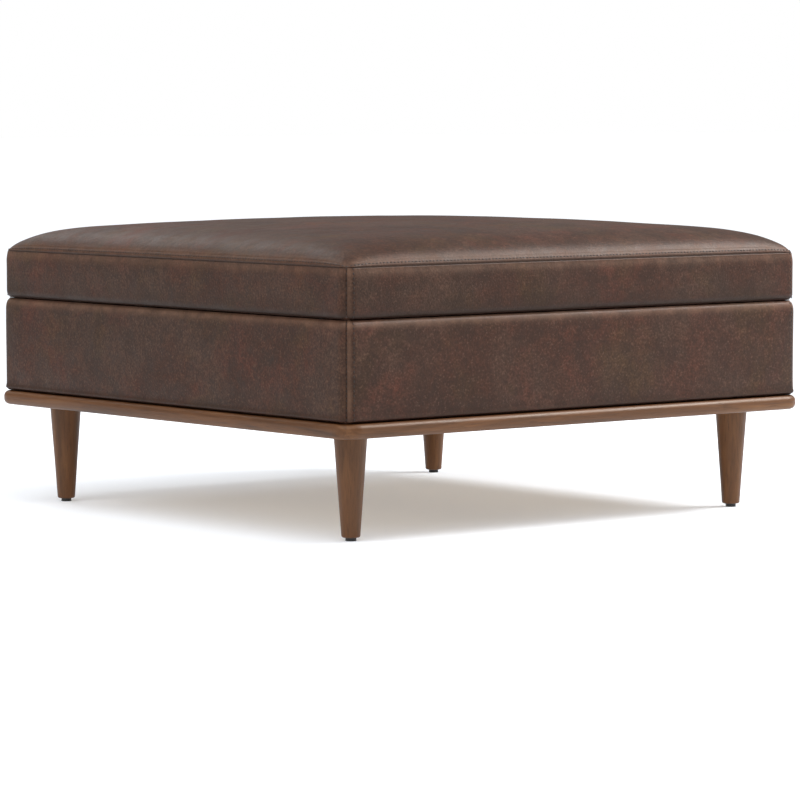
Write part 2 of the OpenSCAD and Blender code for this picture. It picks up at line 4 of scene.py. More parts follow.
import bmesh
import bpy
import numpy as np
from mathutils import Matrix, Vector, noise
from mathutils.bvhtree import BVHTree
from mathutils.kdtree import KDTree


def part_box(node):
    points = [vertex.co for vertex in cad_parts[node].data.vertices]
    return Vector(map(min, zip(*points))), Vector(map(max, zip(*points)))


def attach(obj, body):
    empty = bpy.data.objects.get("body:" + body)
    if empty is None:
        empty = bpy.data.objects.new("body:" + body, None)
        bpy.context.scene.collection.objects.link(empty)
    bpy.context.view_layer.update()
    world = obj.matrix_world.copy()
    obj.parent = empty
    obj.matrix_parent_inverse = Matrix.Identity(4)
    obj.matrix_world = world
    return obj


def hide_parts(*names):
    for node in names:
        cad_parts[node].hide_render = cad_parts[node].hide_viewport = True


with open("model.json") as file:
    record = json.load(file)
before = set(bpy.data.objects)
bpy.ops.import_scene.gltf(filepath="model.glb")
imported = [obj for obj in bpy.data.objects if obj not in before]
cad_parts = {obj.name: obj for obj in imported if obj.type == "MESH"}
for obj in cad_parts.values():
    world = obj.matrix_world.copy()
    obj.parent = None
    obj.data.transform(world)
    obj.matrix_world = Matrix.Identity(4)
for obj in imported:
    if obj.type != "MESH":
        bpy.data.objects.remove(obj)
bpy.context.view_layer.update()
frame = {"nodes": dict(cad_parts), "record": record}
print("frame loaded")

scene = bpy.context.scene
mm = 0.001


viewpoint = {
    "place": (-3.820, -4.783, 0.632),
    "turn": 38.68,  # degrees to the right of straight ahead
    "tilt": 4.357,  # degrees down
    "roll": -0.11,
    "lens": 173.5,
    "sensor": 36,
    "farthest": 100,
}


def makeCamera(look):
    turn, tilt, roll = (math.radians(look[angle]) for angle in ("turn", "tilt", "roll"))
    level = Vector((math.sin(turn), math.cos(turn), 0))
    ahead = level * math.cos(tilt) - Vector((0, 0, math.sin(tilt)))
    right = Vector((math.cos(turn), -math.sin(turn), 0))
    up = right.cross(ahead)
    side = right * math.cos(roll) + up * math.sin(roll)
    top = up * math.cos(roll) - right * math.sin(roll)
    data = bpy.data.cameras.new("camera")
    data.lens = look["lens"]
    data.sensor_width = look["sensor"]
    data.clip_end = look["farthest"]
    camera = bpy.data.objects.new("camera", data)
    axes = Matrix((side, top, -ahead)).transposed().to_4x4()
    camera.matrix_world = Matrix.Translation(look["place"]) @ axes
    scene.collection.objects.link(camera)
    scene.camera = camera


lights = {
    "ambient": 0.35,
    "floor": (0.712, 0.745, 0.79),
    "floorGlow": 0.262,
    "floorReach": 60,  # metres, far past the edge of the view
    "sun": {"aim": (0.42, 0.30, -1.0), "strength": 2.7, "spread": 75},
    "softboxes": [  # place, aim, width, height, watts
        ((2.6, -1.3, 2.7), (0.0, -0.3, 0.45), 1.6, 1.3, 155),
        ((0.1, 2.7, 2.4), (-0.3, 0.0, 0.45), 1.6, 1.2, 19),
        ((2.0, -2.6, 0.9), (0.2, -0.3, 0.2), 0.5, 1.6, 4),
        ((-3.0, 0.9, 0.9), (-0.3, 0.0, 0.2), 0.5, 1.6, 10),
    ],
}


def addLight(name, kind, place, aim):
    data = bpy.data.lights.new(name, kind)
    lamp = bpy.data.objects.new(name, data)
    lamp.location = place
    lamp.rotation_euler = (Vector(aim) - Vector(place)).to_track_quat("-Z", "Y").to_euler()
    scene.collection.objects.link(lamp)
    return data


def makeStage(look):
    scene.view_settings.view_transform = "Standard"
    world = bpy.data.worlds.new("studio")
    world.use_nodes = True
    nodes, links = world.node_tree.nodes, world.node_tree.links
    sky = nodes["Background"]
    sky.inputs["Color"].default_value = (1, 1, 1, 1)
    sky.inputs["Strength"].default_value = look["ambient"]
    backdrop = nodes.new("ShaderNodeBackground")
    backdrop.inputs["Color"].default_value = (1, 1, 1, 1)
    mix = nodes.new("ShaderNodeMixShader")
    links.new(nodes.new("ShaderNodeLightPath").outputs["Is Camera Ray"], mix.inputs["Fac"])
    links.new(sky.outputs["Background"], mix.inputs[1])
    links.new(backdrop.outputs["Background"], mix.inputs[2])
    links.new(mix.outputs["Shader"], nodes["World Output"].inputs["Surface"])
    scene.world = world
    sun = addLight("sun", "SUN", (0, 0, 5), Vector((0, 0, 5)) + Vector(look["sun"]["aim"]))
    sun.energy = look["sun"]["strength"]
    sun.angle = math.radians(look["sun"]["spread"])
    for place, aim, width, height, watts in look["softboxes"]:
        box = addLight("softbox", "AREA", place, aim)
        box.shape = "RECTANGLE"
        box.size, box.size_y = width, height
        box.energy = watts
    reach = look["floorReach"]
    corners = [(-reach, -reach, 0), (reach, -reach, 0), (reach, reach, 0), (-reach, reach, 0)]
    floor = makeMesh("floor", corners, [(0, 1, 2, 3)])
    material, tree, shader = newMaterial("paleFloor")
    speckle = addNode(tree, "TexNoise", {"Vector": objectCoords(tree), "Scale": 3.0})
    pale, paler = look["floor"], tuple(c * 1.01 for c in look["floor"])
    colour = ramp(tree, speckle.outputs["Fac"], [(0.3, pale), (0.7, paler)])
    tree.links.new(colour, shader.inputs["Base Color"])
    shader.inputs["Roughness"].default_value = 0.9
    shader.inputs["Specular IOR Level"].default_value = 0.1
    shader.inputs["Emission Color"].default_value = (1, 1, 1, 1)
    shader.inputs["Emission Strength"].default_value = look["floorGlow"]
    floor.data.materials.append(material)


def makeMesh(name, points, faces, material=None, edges=()):
    mesh = bpy.data.meshes.new(name)
    mesh.from_pydata([tuple(p) for p in points], edges, [tuple(f) for f in faces])
    shadeSmooth(mesh, True)
    mesh.update()
    piece = bpy.data.objects.new(name, mesh)
    if material:
        mesh.materials.append(material)
    scene.collection.objects.link(piece)
    return piece


def shadeSmooth(mesh, smooth):
    mesh.polygons.foreach_set("use_smooth", [smooth] * len(mesh.polygons))


def setAttribute(mesh, name, values, kind="FLOAT"):
    layer = mesh.attributes.new(name, kind, "POINT")
    field = "value" if kind == "FLOAT" else "vector"
    layer.data.foreach_set(field, np.asarray(values, np.float32).ravel())


def getAttribute(mesh, name):
    values = np.zeros(len(mesh.vertices), np.float32)
    mesh.attributes[name].data.foreach_get("value", values)
    return values.astype(float)


def getPoints(mesh, what="co"):
    flat = np.zeros(len(mesh.vertices) * 3, np.float32)
    mesh.vertices.foreach_get(what, flat)
    return flat.reshape(-1, 3).astype(float)


def setPoints(mesh, points):
    mesh.vertices.foreach_set("co", np.asarray(points, np.float32).ravel())
    mesh.update()


def applyModifiers(piece):
    depsgraph = bpy.context.evaluated_depsgraph_get()
    mesh = bpy.data.meshes.new_from_object(piece.evaluated_get(depsgraph))
    old = piece.data
    piece.modifiers.clear()
    piece.data = mesh
    name = old.name
    bpy.data.meshes.remove(old)
    mesh.name = name
    shadeSmooth(mesh, True)
    return piece


def subdivide(piece, levels):
    modifier = piece.modifiers.new("smooth", "SUBSURF")
    modifier.levels = modifier.render_levels = levels
    bpy.context.view_layer.update()
    return applyModifiers(piece)


def newMaterial(name):
    material = bpy.data.materials.new(name)
    material.use_nodes = True
    tree = material.node_tree
    tree.nodes.clear()
    output = tree.nodes.new("ShaderNodeOutputMaterial")
    shader = tree.nodes.new("ShaderNodeBsdfPrincipled")
    tree.links.new(shader.outputs["BSDF"], output.inputs["Surface"])
    return material, tree, shader


def addNode(tree, kind, inputs=(), **settings):
    node = tree.nodes.new("ShaderNode" + kind)
    for name, value in settings.items():
        setattr(node, name, value)
    for name, value in dict(inputs).items():
        if isinstance(value, bpy.types.NodeSocket):
            tree.links.new(value, node.inputs[name])
        else:
            node.inputs[name].default_value = value
    return node


def objectCoords(tree, stretch=(1, 1, 1), shift=(0, 0, 0)):
    coords = addNode(tree, "TexCoord")
    settings = {"Vector": coords.outputs["Object"], "Scale": stretch, "Location": shift}
    return addNode(tree, "Mapping", settings).outputs["Vector"]


def ramp(tree, factor, stops):
    node = addNode(tree, "ValToRGB", {"Fac": factor})
    band = node.color_ramp
    while len(band.elements) < len(stops):
        band.elements.new(0.5)
    for element, (place, colour) in zip(band.elements, stops):
        element.position = place
        element.color = (*colour, 1) if len(colour) == 3 else colour
    return node.outputs["Color"]


def grey(tree, factor, low, high, dark=0.0, light=1.0):
    return addNode(tree, "MapRange", {"Value": factor, "From Min": low, "From Max": high,
                                      "To Min": dark, "To Max": light}).outputs["Result"]


def blend(tree, factor, a, b, mode="MIX"):
    node = tree.nodes.new("ShaderNodeMix")
    node.data_type = "RGBA"
    node.blend_type = mode
    for socket, value in zip((node.inputs[0], node.inputs[6], node.inputs[7]), (factor, a, b)):
        if isinstance(value, bpy.types.NodeSocket):
            tree.links.new(value, socket)
        else:
            socket.default_value = (*value, 1) if isinstance(value, tuple) else value
    return node.outputs[2]


def combine(tree, operation, a, b):
    node = addNode(tree, "Math", operation=operation)
    for socket, value in zip(node.inputs, (a, b)):
        if isinstance(value, bpy.types.NodeSocket):
            tree.links.new(value, socket)
        else:
            socket.default_value = value
    return node.outputs["Value"]


leatherLook = {
    "deep": (0.016, 0.007, 0.004),
    "main": (0.055, 0.0185, 0.0095),
    "red": (0.098, 0.023, 0.012),
    "olive": (0.060, 0.030, 0.011),
    "grey": (0.061, 0.029, 0.018),
    # light tone: for the light specks, and for the painted highlight laid on through the attribute read below
    "wornAndHighlight": (0.170, 0.094, 0.060),
    "gloss": (1.0, 0.84, 0.74, 1),
    "specular": 0.27,
    "roughness": (0.46, 0.60),
    "pebble": 520.0,  # grain cells in a metre
    "pores": 1300.0,
    "creases": 95.0,
    "grainDepth": 0.28 * mm,
    "patches": [  # colour, scale, detail, shift, range of the noise, share at its end
        ("grey", 5.0, 4.0, (0.7, 0.2, 2.0), (0.44, 0.58), 1.0),
        ("red", 6.5, 5.0, (3.1, 1.7, 0.4), (0.50, 0.66), 0.60),
        ("olive", 8.0, 5.0, (5.2, 8.3, 1.1), (0.52, 0.68), 0.8),
        ("deep", 16.0, 7.0, (1.4, 4.1, 7.7), (0.46, 0.62), 0.45),
    ],
    "specks": [  # colour, scale, detail, range of the noise, share at its start and end
        ("deep", 110.0, 4.0, (0.45, 0.68), (0.0, 0.42)),
        ("deep", 300.0, 3.0, (0.46, 0.66), (0.0, 0.60)),
        ("wornAndHighlight", 300.0, 3.0, (0.28, 0.42), (0.25, 0.0)),
    ],
}


def makeLeather(look):
    material, tree, shader = newMaterial("distressedLeather")
    place = objectCoords(tree)

    def cloud(scale, detail, shift):
        settings = {"Vector": objectCoords(tree, shift=shift), "Scale": scale, "Detail": detail,
                    "Roughness": 0.6, "Distortion": 0.5}
        return addNode(tree, "TexNoise", settings).outputs["Fac"]

    colour = look["main"]
    for name, scale, detail, shift, (low, high), share in look["patches"]:
        factor = grey(tree, cloud(scale, detail, shift), low, high, 0.0, share)
        colour = blend(tree, factor, colour, look[name])
    blot = cloud(36.0, 6.0, (0.2, 0.9, 0.4))
    colour = blend(tree, grey(tree, blot, 0.32, 0.66, 0.50, 0.0), colour, look["deep"])
    for name, scale, detail, (low, high), (first, last) in look["specks"]:
        speck = addNode(tree, "TexNoise", {"Vector": place, "Scale": scale, "Detail": detail}).outputs["Fac"]
        colour = blend(tree, grey(tree, speck, low, high, first, last), colour, look[name])
    # painted highlight: the attribute read here lightens the colour, patchy by the blot noise, along the seams,
    # the box's top edge and beside the corner seams
    paintedHighlight = addNode(tree, "Attribute", attribute_name="paintedHighlight").outputs["Fac"]
    unevenHighlight = combine(tree, "MULTIPLY", paintedHighlight, grey(tree, blot, 0.30, 0.68, 0.35, 1.0))
    colour = blend(tree, unevenHighlight, colour, look["wornAndHighlight"])
    # painted shade: the attribute read here darkens the colour in the seam grooves, at the gaps between lid,
    # box and base, and underneath
    paintedShade = addNode(tree, "Attribute", attribute_name="paintedShade").outputs["Fac"]
    colour = blend(tree, paintedShade, colour, look["deep"])
    tree.links.new(colour, shader.inputs["Base Color"])
    tree.links.new(grey(tree, blot, 0.3, 0.7, *look["roughness"]), shader.inputs["Roughness"])
    shader.inputs["Specular IOR Level"].default_value = look["specular"]
    shader.inputs["Specular Tint"].default_value = look["gloss"]
    pebble = addNode(tree, "TexVoronoi", {"Vector": place, "Scale": look["pebble"]}, feature="SMOOTH_F1")
    pores = addNode(tree, "TexNoise", {"Vector": place, "Scale": look["pores"], "Detail": 2.0})
    creases = addNode(tree, "TexNoise", {"Vector": place, "Scale": look["creases"], "Detail": 4.0,
                                         "Roughness": 0.6})
    height = combine(tree, "ADD", grey(tree, pebble.outputs["Distance"], 0.0, 0.9, 1.0, 0.0),
                     grey(tree, pores.outputs["Fac"], 0.2, 0.8, 0.0, 0.35))
    height = combine(tree, "ADD", height, grey(tree, creases.outputs["Fac"], 0.2, 0.8, 0.0, 1.5))
    bump = addNode(tree, "Bump", {"Height": height, "Strength": 0.6, "Distance": look["grainDepth"]})
    tree.links.new(bump.outputs["Normal"], shader.inputs["Normal"])
    return material


walnutLook = {
    "dark": (0.036, 0.013, 0.004),
    "middle": (0.104, 0.040, 0.013),
    "light": (0.178, 0.078, 0.028),
    "roughness": (0.38, 0.52),
    "gloss": (1.0, 0.88, 0.76, 1),
    "specular": 0.4,
    "across": 26.0,  # scale of the grain across the fibres and along them
    "along": 1.6,
    "depth": 0.25 * mm,
}


def makeWood(name, look, along, shift):
    material, tree, shader = newMaterial(name)
    stretch = [look["across"]] * 3
    stretch["xyz".index(along)] = look["along"]
    place = objectCoords(tree, tuple(stretch), shift)
    bend = addNode(tree, "TexNoise", {"Vector": place, "Scale": 0.35, "Detail": 3.0, "Distortion": 0.9})
    rings = addNode(tree, "TexNoise", {"Vector": place, "Scale": 2.2, "Detail": 6.0, "Roughness": 0.62,
                                       "Distortion": 0.6})
    pores = addNode(tree, "TexNoise", {"Vector": place, "Scale": 16.0, "Detail": 3.0, "Roughness": 0.7})
    tones = [(0.30, look["dark"]), (0.50, look["middle"]), (0.72, look["light"])]
    colour = ramp(tree, rings.outputs["Fac"], tones)
    colour = blend(tree, grey(tree, bend.outputs["Fac"], 0.35, 0.65, 0.0, 0.45), colour, look["middle"])
    colour = blend(tree, grey(tree, pores.outputs["Fac"], 0.52, 0.70, 0.0, 0.5), colour, look["dark"])
    tree.links.new(colour, shader.inputs["Base Color"])
    tree.links.new(grey(tree, rings.outputs["Fac"], 0.3, 0.7, *look["roughness"]), shader.inputs["Roughness"])
    shader.inputs["Specular IOR Level"].default_value = look["specular"]
    shader.inputs["Specular Tint"].default_value = look["gloss"]
    height = combine(tree, "SUBTRACT", grey(tree, rings.outputs["Fac"], 0.3, 0.7, 0.0, 0.4),
                     grey(tree, pores.outputs["Fac"], 0.5, 0.72, 0.0, 1.0))
    bump = addNode(tree, "Bump", {"Height": height, "Strength": 0.35, "Distance": look["depth"]})
    tree.links.new(bump.outputs["Normal"], shader.inputs["Normal"])
    return material


boardLook = {
    **walnutLook,
    "dark": (0.36, 0.24, 0.13),
    "middle": (0.52, 0.37, 0.21),
    "light": (0.66, 0.50, 0.31),
    "roughness": (0.6, 0.75),
    "gloss": (1, 1, 1, 1),
}


def makeMetal(name, colour, roughness, metallic=1.0, scratch=180.0):
    material, tree, shader = newMaterial(name)
    place = objectCoords(tree)
    cloud = addNode(tree, "TexNoise", {"Vector": place, "Scale": 40.0, "Detail": 4.0}).outputs["Fac"]
    marks = addNode(tree, "TexNoise", {"Vector": objectCoords(tree, (1, 9, 9)), "Scale": scratch,
                                       "Detail": 4.0}).outputs["Fac"]
    dull = tuple(c * 0.72 for c in colour)
    tree.links.new(ramp(tree, cloud, [(0.35, dull), (0.65, colour)]), shader.inputs["Base Color"])
    tree.links.new(grey(tree, marks, 0.3, 0.7, roughness * 0.8, roughness * 1.25), shader.inputs["Roughness"])
    shader.inputs["Metallic"].default_value = metallic
    bump = addNode(tree, "Bump", {"Height": marks, "Strength": 0.15, "Distance": 0.1 * mm})
    tree.links.new(bump.outputs["Normal"], shader.inputs["Normal"])
    return material


def makePlain(name, colour, roughness, grain=900.0, depth=0.08 * mm):
    material, tree, shader = newMaterial(name)
    place = objectCoords(tree)
    cloud = addNode(tree, "TexNoise", {"Vector": place, "Scale": 60.0, "Detail": 4.0}).outputs["Fac"]
    fine = addNode(tree, "TexNoise", {"Vector": place, "Scale": grain, "Detail": 3.0}).outputs["Fac"]
    dark = tuple(c * 0.75 for c in colour)
    tree.links.new(ramp(tree, cloud, [(0.35, dark), (0.65, colour)]), shader.inputs["Base Color"])
    rough = grey(tree, fine, 0.3, 0.7, roughness * 0.9, min(1.0, roughness * 1.1))
    tree.links.new(rough, shader.inputs["Roughness"])
    bump = addNode(tree, "Bump", {"Height": fine, "Strength": 0.4, "Distance": depth})
    tree.links.new(bump.outputs["Normal"], shader.inputs["Normal"])
    return material


def makeCloth(name, colour, thread):
    material, tree, shader = newMaterial(name)
    place = objectCoords(tree)
    height = None
    for axis in "XYZ":
        wave = addNode(tree, "TexWave", {"Vector": place, "Scale": thread, "Distortion": 0.6, "Detail": 1.0},
                       bands_direction=axis).outputs["Fac"]
        height = wave if height is None else combine(tree, "MULTIPLY", height, wave)
    cloud = addNode(tree, "TexNoise", {"Vector": place, "Scale": 9.0, "Detail": 5.0}).outputs["Fac"]
    dark = tuple(c * 0.7 for c in colour)
    base = ramp(tree, cloud, [(0.35, dark), (0.65, colour)])
    base = blend(tree, grey(tree, height, 0.0, 0.5, 0.5, 0.0), base, dark)
    tree.links.new(base, shader.inputs["Base Color"])
    tree.links.new(grey(tree, cloud, 0.3, 0.7, 0.85, 0.95), shader.inputs["Roughness"])
    shader.inputs["Sheen Weight"].default_value = 0.3
    shader.inputs["Specular IOR Level"].default_value = 0.2
    bump = addNode(tree, "Bump", {"Height": height, "Strength": 0.6, "Distance": 0.3 * mm})
    tree.links.new(bump.outputs["Normal"], shader.inputs["Normal"])
    return material


leather = makeLeather(leatherLook)
walnutX = makeWood("walnutAcross", walnutLook, "x", (0.3, 1.1, 2.7))
walnutY = makeWood("walnutAlong", walnutLook, "y", (4.3, 0.6, 1.9))
walnutZ = makeWood("walnutUpright", walnutLook, "z", (1.3, 2.2, 0.5))
board = makeWood("plywood", boardLook, "x", (0.0, 0.4, 3.3))
hingeSteel = makeMetal("hingeSteel", (0.60, 0.55, 0.47), 0.32)
staySteel = makeMetal("staySteel", (0.07, 0.07, 0.075), 0.42, 0.6)
screwSteel = makeMetal("screwSteel", (0.66, 0.62, 0.52), 0.30)
blackPlastic = makePlain("blackPlastic", (0.018, 0.017, 0.016), 0.5)
rubber = makePlain("rubber", (0.022, 0.022, 0.021), 0.8)
foam = makePlain("foam", (0.72, 0.64, 0.40), 0.95, 400.0, 0.6 * mm)
liningCloth = makeCloth("liningCloth", (0.060, 0.055, 0.052), 260.0)
thread = makePlain("thread", (0.020, 0.011, 0.008), 0.6, 2600.0, 0.1 * mm)
print("materials made")
makeCamera(viewpoint)
makeStage(lights)


def cellEdges(half, fine, even):
    # grid lines across a square: fine ones near its edge, then even cells to the middle
    left = half - fine[-1]
    count = max(2, round(left / even))
    inward = list(fine) + [fine[-1] + left * (k + 1) / count for k in range(count)]
    low = [d - half for d in inward]
    return np.array(low + [-v for v in reversed(low[:-1])])


def roundedPoint(sx, sy, halfX, halfY, radius, inset=0.0):
    # a square's points on the rounded outline that lies inset inside it, and how far along
    # the surface each is from the upright seam in its corner, positive on the front and back
    newRadius = max(radius - inset, 1.0 * mm)
    innerX, innerY = halfX - radius, halfY - radius
    newX, newY = halfX - inset - newRadius, halfY - inset - newRadius
    ax, ay = (np.abs(sx) - innerX) / radius, (np.abs(sy) - innerY) / radius
    corner = (ax > 0) & (ay > 0)
    big, small = np.maximum(ax, ay), np.minimum(ax, ay)
    angle = math.pi / 4 * np.clip(small / np.where(big > 0, big, 1), 0, 1)
    angle = np.where(ay > ax, math.pi / 2 - angle, angle)
    x = np.where(ax > 0, newX + newRadius * ax, np.abs(sx) * newX / innerX)
    y = np.where(ay > 0, newY + newRadius * ay, np.abs(sy) * newY / innerY)
    x = np.where(corner, newX + newRadius * big * np.cos(angle), x)
    y = np.where(corner, newY + newRadius * big * np.sin(angle), y)
    arc = np.where(corner, (angle - math.pi / 4) * radius,
                   np.where(ay > 0, math.pi / 4 * radius + innerX - np.abs(sx),
                            -math.pi / 4 * radius - innerY + np.abs(sy)))
    return x * np.sign(sx + 1e-12), y * np.sign(sy + 1e-12), arc


def loopIndices(n):
    # the border of an n by n grid, once round
    loop = [(i, 0) for i in range(n - 1)] + [(n - 1, j) for j in range(n - 1)]
    return loop + [(i, n - 1) for i in range(n - 1, 0, -1)] + [(0, j) for j in range(n - 1, 0, -1)]


def bell(distance, width):
    return np.exp(-(distance / width) ** 2)


def band(distance, shape):
    # soft band of a strength, with its middle at a distance, and a width
    strength, middle, width = shape
    return strength * bell(distance - middle, width)


def ripple(points, scale, shift=0.0):
    return np.array([noise.noise(Vector(p) * scale + Vector((shift, shift, shift))) for p in points])


def arch(value, start, end):
    # rises from start, is highest half way, and is down again at end
    share = np.clip((value - start) / (end - start), 0, 1)
    return np.sin(math.pi * share) ** 0.7


clothLook = {
    "frames": 20,
    "quality": 6,
    "mass": 0.5,
    "stretch": 60,
    "shear": 30,
    "bending": 12,
    "pressure": 5.0,
    "hold": 0.35,  # of the foam inside on the leather, from 0 to 1
    "most": 7 * mm,  # no point moves further
    "reach": 17 * mm,  # over which the movement is spread on the fine mesh
    "near": 14,  # coarse points that move one fine point
}


def inflate(piece, pinned, look):
    # cloth filled with air; gives where its points were and how far each has moved
    start = getPoints(piece.data)
    group = piece.vertex_groups.new(name="pinned")
    group.add(np.nonzero(pinned)[0].tolist(), 1.0, "REPLACE")
    group.add(np.nonzero(~pinned)[0].tolist(), look["hold"], "REPLACE")
    modifier = piece.modifiers.new("cloth", "CLOTH")
    cloth = modifier.settings
    cloth.quality = look["quality"]
    cloth.mass = look["mass"]
    cloth.tension_stiffness = cloth.compression_stiffness = look["stretch"]
    cloth.shear_stiffness = look["shear"]
    cloth.bending_stiffness = look["bending"]
    cloth.use_pressure = True
    cloth.uniform_pressure_force = look["pressure"]
    cloth.effector_weights.gravity = 0
    cloth.vertex_group_mass = group.name
    modifier.point_cache.frame_end = look["frames"]
    for frameNumber in range(1, look["frames"] + 1):
        scene.frame_set(frameNumber)
    evaluated = piece.evaluated_get(bpy.context.evaluated_depsgraph_get())
    move = getPoints(evaluated.data) - start
    scene.frame_set(1)
    length = np.linalg.norm(move, axis=1, keepdims=True)
    return start, move * np.minimum(1, look["most"] / np.maximum(length, 1e-9))


def spread(points, start, move, look):
    # the coarse points' movement, evened out onto other points
    tree = KDTree(len(start))
    for k, place in enumerate(start):
        tree.insert(place, k)
    tree.balance()
    out = np.zeros_like(points)
    for k, place in enumerate(points):
        near = tree.find_n(place, look["near"])
        weights = bell(np.array([n[2] for n in near]), look["reach"])
        out[k] = weights @ move[[n[1] for n in near]] / max(weights.sum(), 1e-9)
    return out


def swell(piece, coarse, pinned, look):
    start, move = inflate(coarse, pinned, look)
    points = getPoints(piece.data)
    setPoints(piece.data, points + spread(points, start, move, look))
    print(piece.name, "moved by the air, mm:", round(float(np.abs(move).max()) / mm, 2))
    bpy.data.objects.remove(coarse)


def closeHoles(piece):
    shape = bmesh.new()
    shape.from_mesh(piece.data)
    bmesh.ops.holes_fill(shape, edges=[e for e in shape.edges if e.is_boundary], sides=0)
    shape.to_mesh(piece.data)
    shape.free()


hingeNodes = ["hinge_left_box_leaf", "hinge_centre_box_leaf", "hinge_right_box_leaf"]
hingeSpread = 8 * mm  # from the flat padding on a hinge leaf to the full height beside it


def clearOfHinges(points):
    # 0 on the hinge leaves, which press the padding flat, and 1 away from them
    free = np.ones(len(points))
    for node in hingeNodes:
        low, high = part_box(node)
        beside = np.abs(points[:, 0] - (low.x + high.x) / 2) - (high.x - low.x) / 2
        away = np.maximum(beside, low.y - points[:, 1])
        free *= np.clip(away / hingeSpread, 0, 1)
    return free


cushionLook = {
    "edgeRise": 37.4 * mm,
    "middleRise": 16.3 * mm,
    "power": 13.1,
    "root": 1 / 1.52,
    "slack": 0.99,  # share of the crown before the air goes in
    "cornerRadius": 20 * mm,
    "roundIn": 6 * mm,
    "roundUp": 10 * mm,
    "wrap": 26 * mm,
    "sag": 1.7 * mm,
    "leather": 1.5 * mm,
    "padding": 5 * mm,
    "seamTurn": 2.2 * mm,  # how far the leather turns in to the seam
    "topTurn": 11 * mm,  # over which it does that, on top and on the side
    "sideTurn": 9 * mm,
    "steepness": 2.6,  # how much steeper the top is by the seam than further in
    "seam": (1.7 * mm, 0, 0.9 * mm),  # grooves: depth, distance of the middle, width
    "stitchDent": (0.3 * mm, 4.2 * mm, 0.7 * mm),
    "cornerSeam": (1.1 * mm, 0, 0.9 * mm),
    "cornerDent": (0.12 * mm, 11 * mm, 1.2 * mm),
    "cornerFold": (1, 4 * mm, 3.5 * mm),
    "foldRise": 0.5 * mm,
    "softFrom": 25 * mm,  # from the seam, where the leather waves fully
    "waves": [(0.9 * mm, 7.0, 0.0), (0.35 * mm, 19.0, 5.0)],  # height, scale, shift
    # painted highlights: lighter bands on the top just above the seam, on the side just below it, and beside
    # each upright corner seam
    "topPaintedHighlight": (0.34, 4 * mm, 6 * mm),  # bands: strength, distance of the middle, width
    "sidePaintedHighlight": (0.34, 5 * mm, 7 * mm),
    "cornerPaintedHighlight": 0.48,
    # painted shade: darker in the seam grooves, low on the side towards the gap above the box, and under the
    # lid
    "seamPaintedShade": (0.85, 0, 1.0 * mm),
    "cornerPaintedShade": (0.55, 0, 0.8 * mm),
    "sidePaintedShade": [(0.30, 14 * mm, 12 * mm), (0.95, 0, 6.5 * mm)],
    "underPaintedShade": 0.5,
    "fine": [0, 0.4, 0.9, 1.5, 2.2, 3.0, 3.9, 4.9, 6.1, 7.5, 9.2,
             11.2, 13.6, 16.5, 20, 24.5, 30, 38, 48, 60, 74],
    "cell": 15.5 * mm,
    "downs": [0.5, 1.1, 1.9, 2.9, 4.3, 6.2, 9, 13, 18, 24, 31, 38, 45, 51, 56, 60],
    "arcSteps": 7,
    "clothCells": 61,  # of the coarse copy that the cloth moves
    "clothDowns": [14, 28, 42, 56],
}

lidLow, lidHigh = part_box("lid_boxing")
boardLow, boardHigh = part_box("lid_board")


def crown(u, v, look):
    edge = (1 - np.abs(u) ** look["power"]) * (1 - np.abs(v) ** look["power"])
    rise = look["edgeRise"] * np.clip(edge, 0, 1) ** look["root"]
    return rise + look["middleRise"] * (1 - u * u) * (1 - v * v)


def cushionRows(look, downs, arcSteps):
    # inset and height of each row, from the seam down, under the lid and up to its board
    low = lidLow.z
    rows = [(0.0, lidHigh.z - d * mm) for d in downs]
    for k in range(arcSteps + 1):
        a = math.pi / 2 * k / arcSteps
        rows.append((look["roundIn"] * (1 - math.cos(a)), low + look["roundUp"] * (1 - math.sin(a))))
    rows += [(look["wrap"] * s, low) for s in (0.4, 0.6, 0.8, 0.97, 1.0)]
    inner = look["leather"] + look["padding"]
    return rows + [(look["wrap"], low + look["leather"]), (inner, low + look["leather"]), (inner, boardHigh.z)]


def buildCushion(look, cells, rows, slack):
    n = len(cells)
    halfX, halfY = lidHigh.x, lidHigh.y
    sx, sy = np.meshgrid(cells * halfX / cells[-1], cells * halfY / cells[-1], indexing="ij")
    x, y, along = roundedPoint(sx, sy, halfX, halfY, look["cornerRadius"])
    z = lidHigh.z + slack * crown(sx / halfX, sy / halfY, look)
    points = [np.stack([x, y, z], -1).reshape(-1, 3)]
    inward = [np.minimum(halfX - np.abs(sx), halfY - np.abs(sy)).ravel()]
    arcs = [np.ones(n * n)]
    faces = [(i * n + j, (i + 1) * n + j, (i + 1) * n + j + 1, i * n + j + 1)
             for i in range(n - 1) for j in range(n - 1)]
    loop = loopIndices(n)
    index = np.array([i * n + j for i, j in loop])
    above, count = index, n * n
    loopX, loopY = sx.ravel()[index], sy.ravel()[index]
    for inset, height in rows:
        bx, by, along = roundedPoint(loopX, loopY, halfX, halfY, look["cornerRadius"], inset)
        points.append(np.stack([bx, by, np.full(len(bx), height)], -1))
        inward.append(np.full(len(bx), height - lidHigh.z))
        arcs.append(along)
        below = np.arange(count, count + len(loop))
        faces += list(zip(above, below, np.roll(below, -1), np.roll(above, -1)))
        above, count = below, count + len(loop)
    piece = makeMesh("lidCushion", np.concatenate(points), faces, leather)
    setAttribute(piece.data, "inward", np.concatenate(inward))
    setAttribute(piece.data, "arc", np.concatenate(arcs))
    return piece


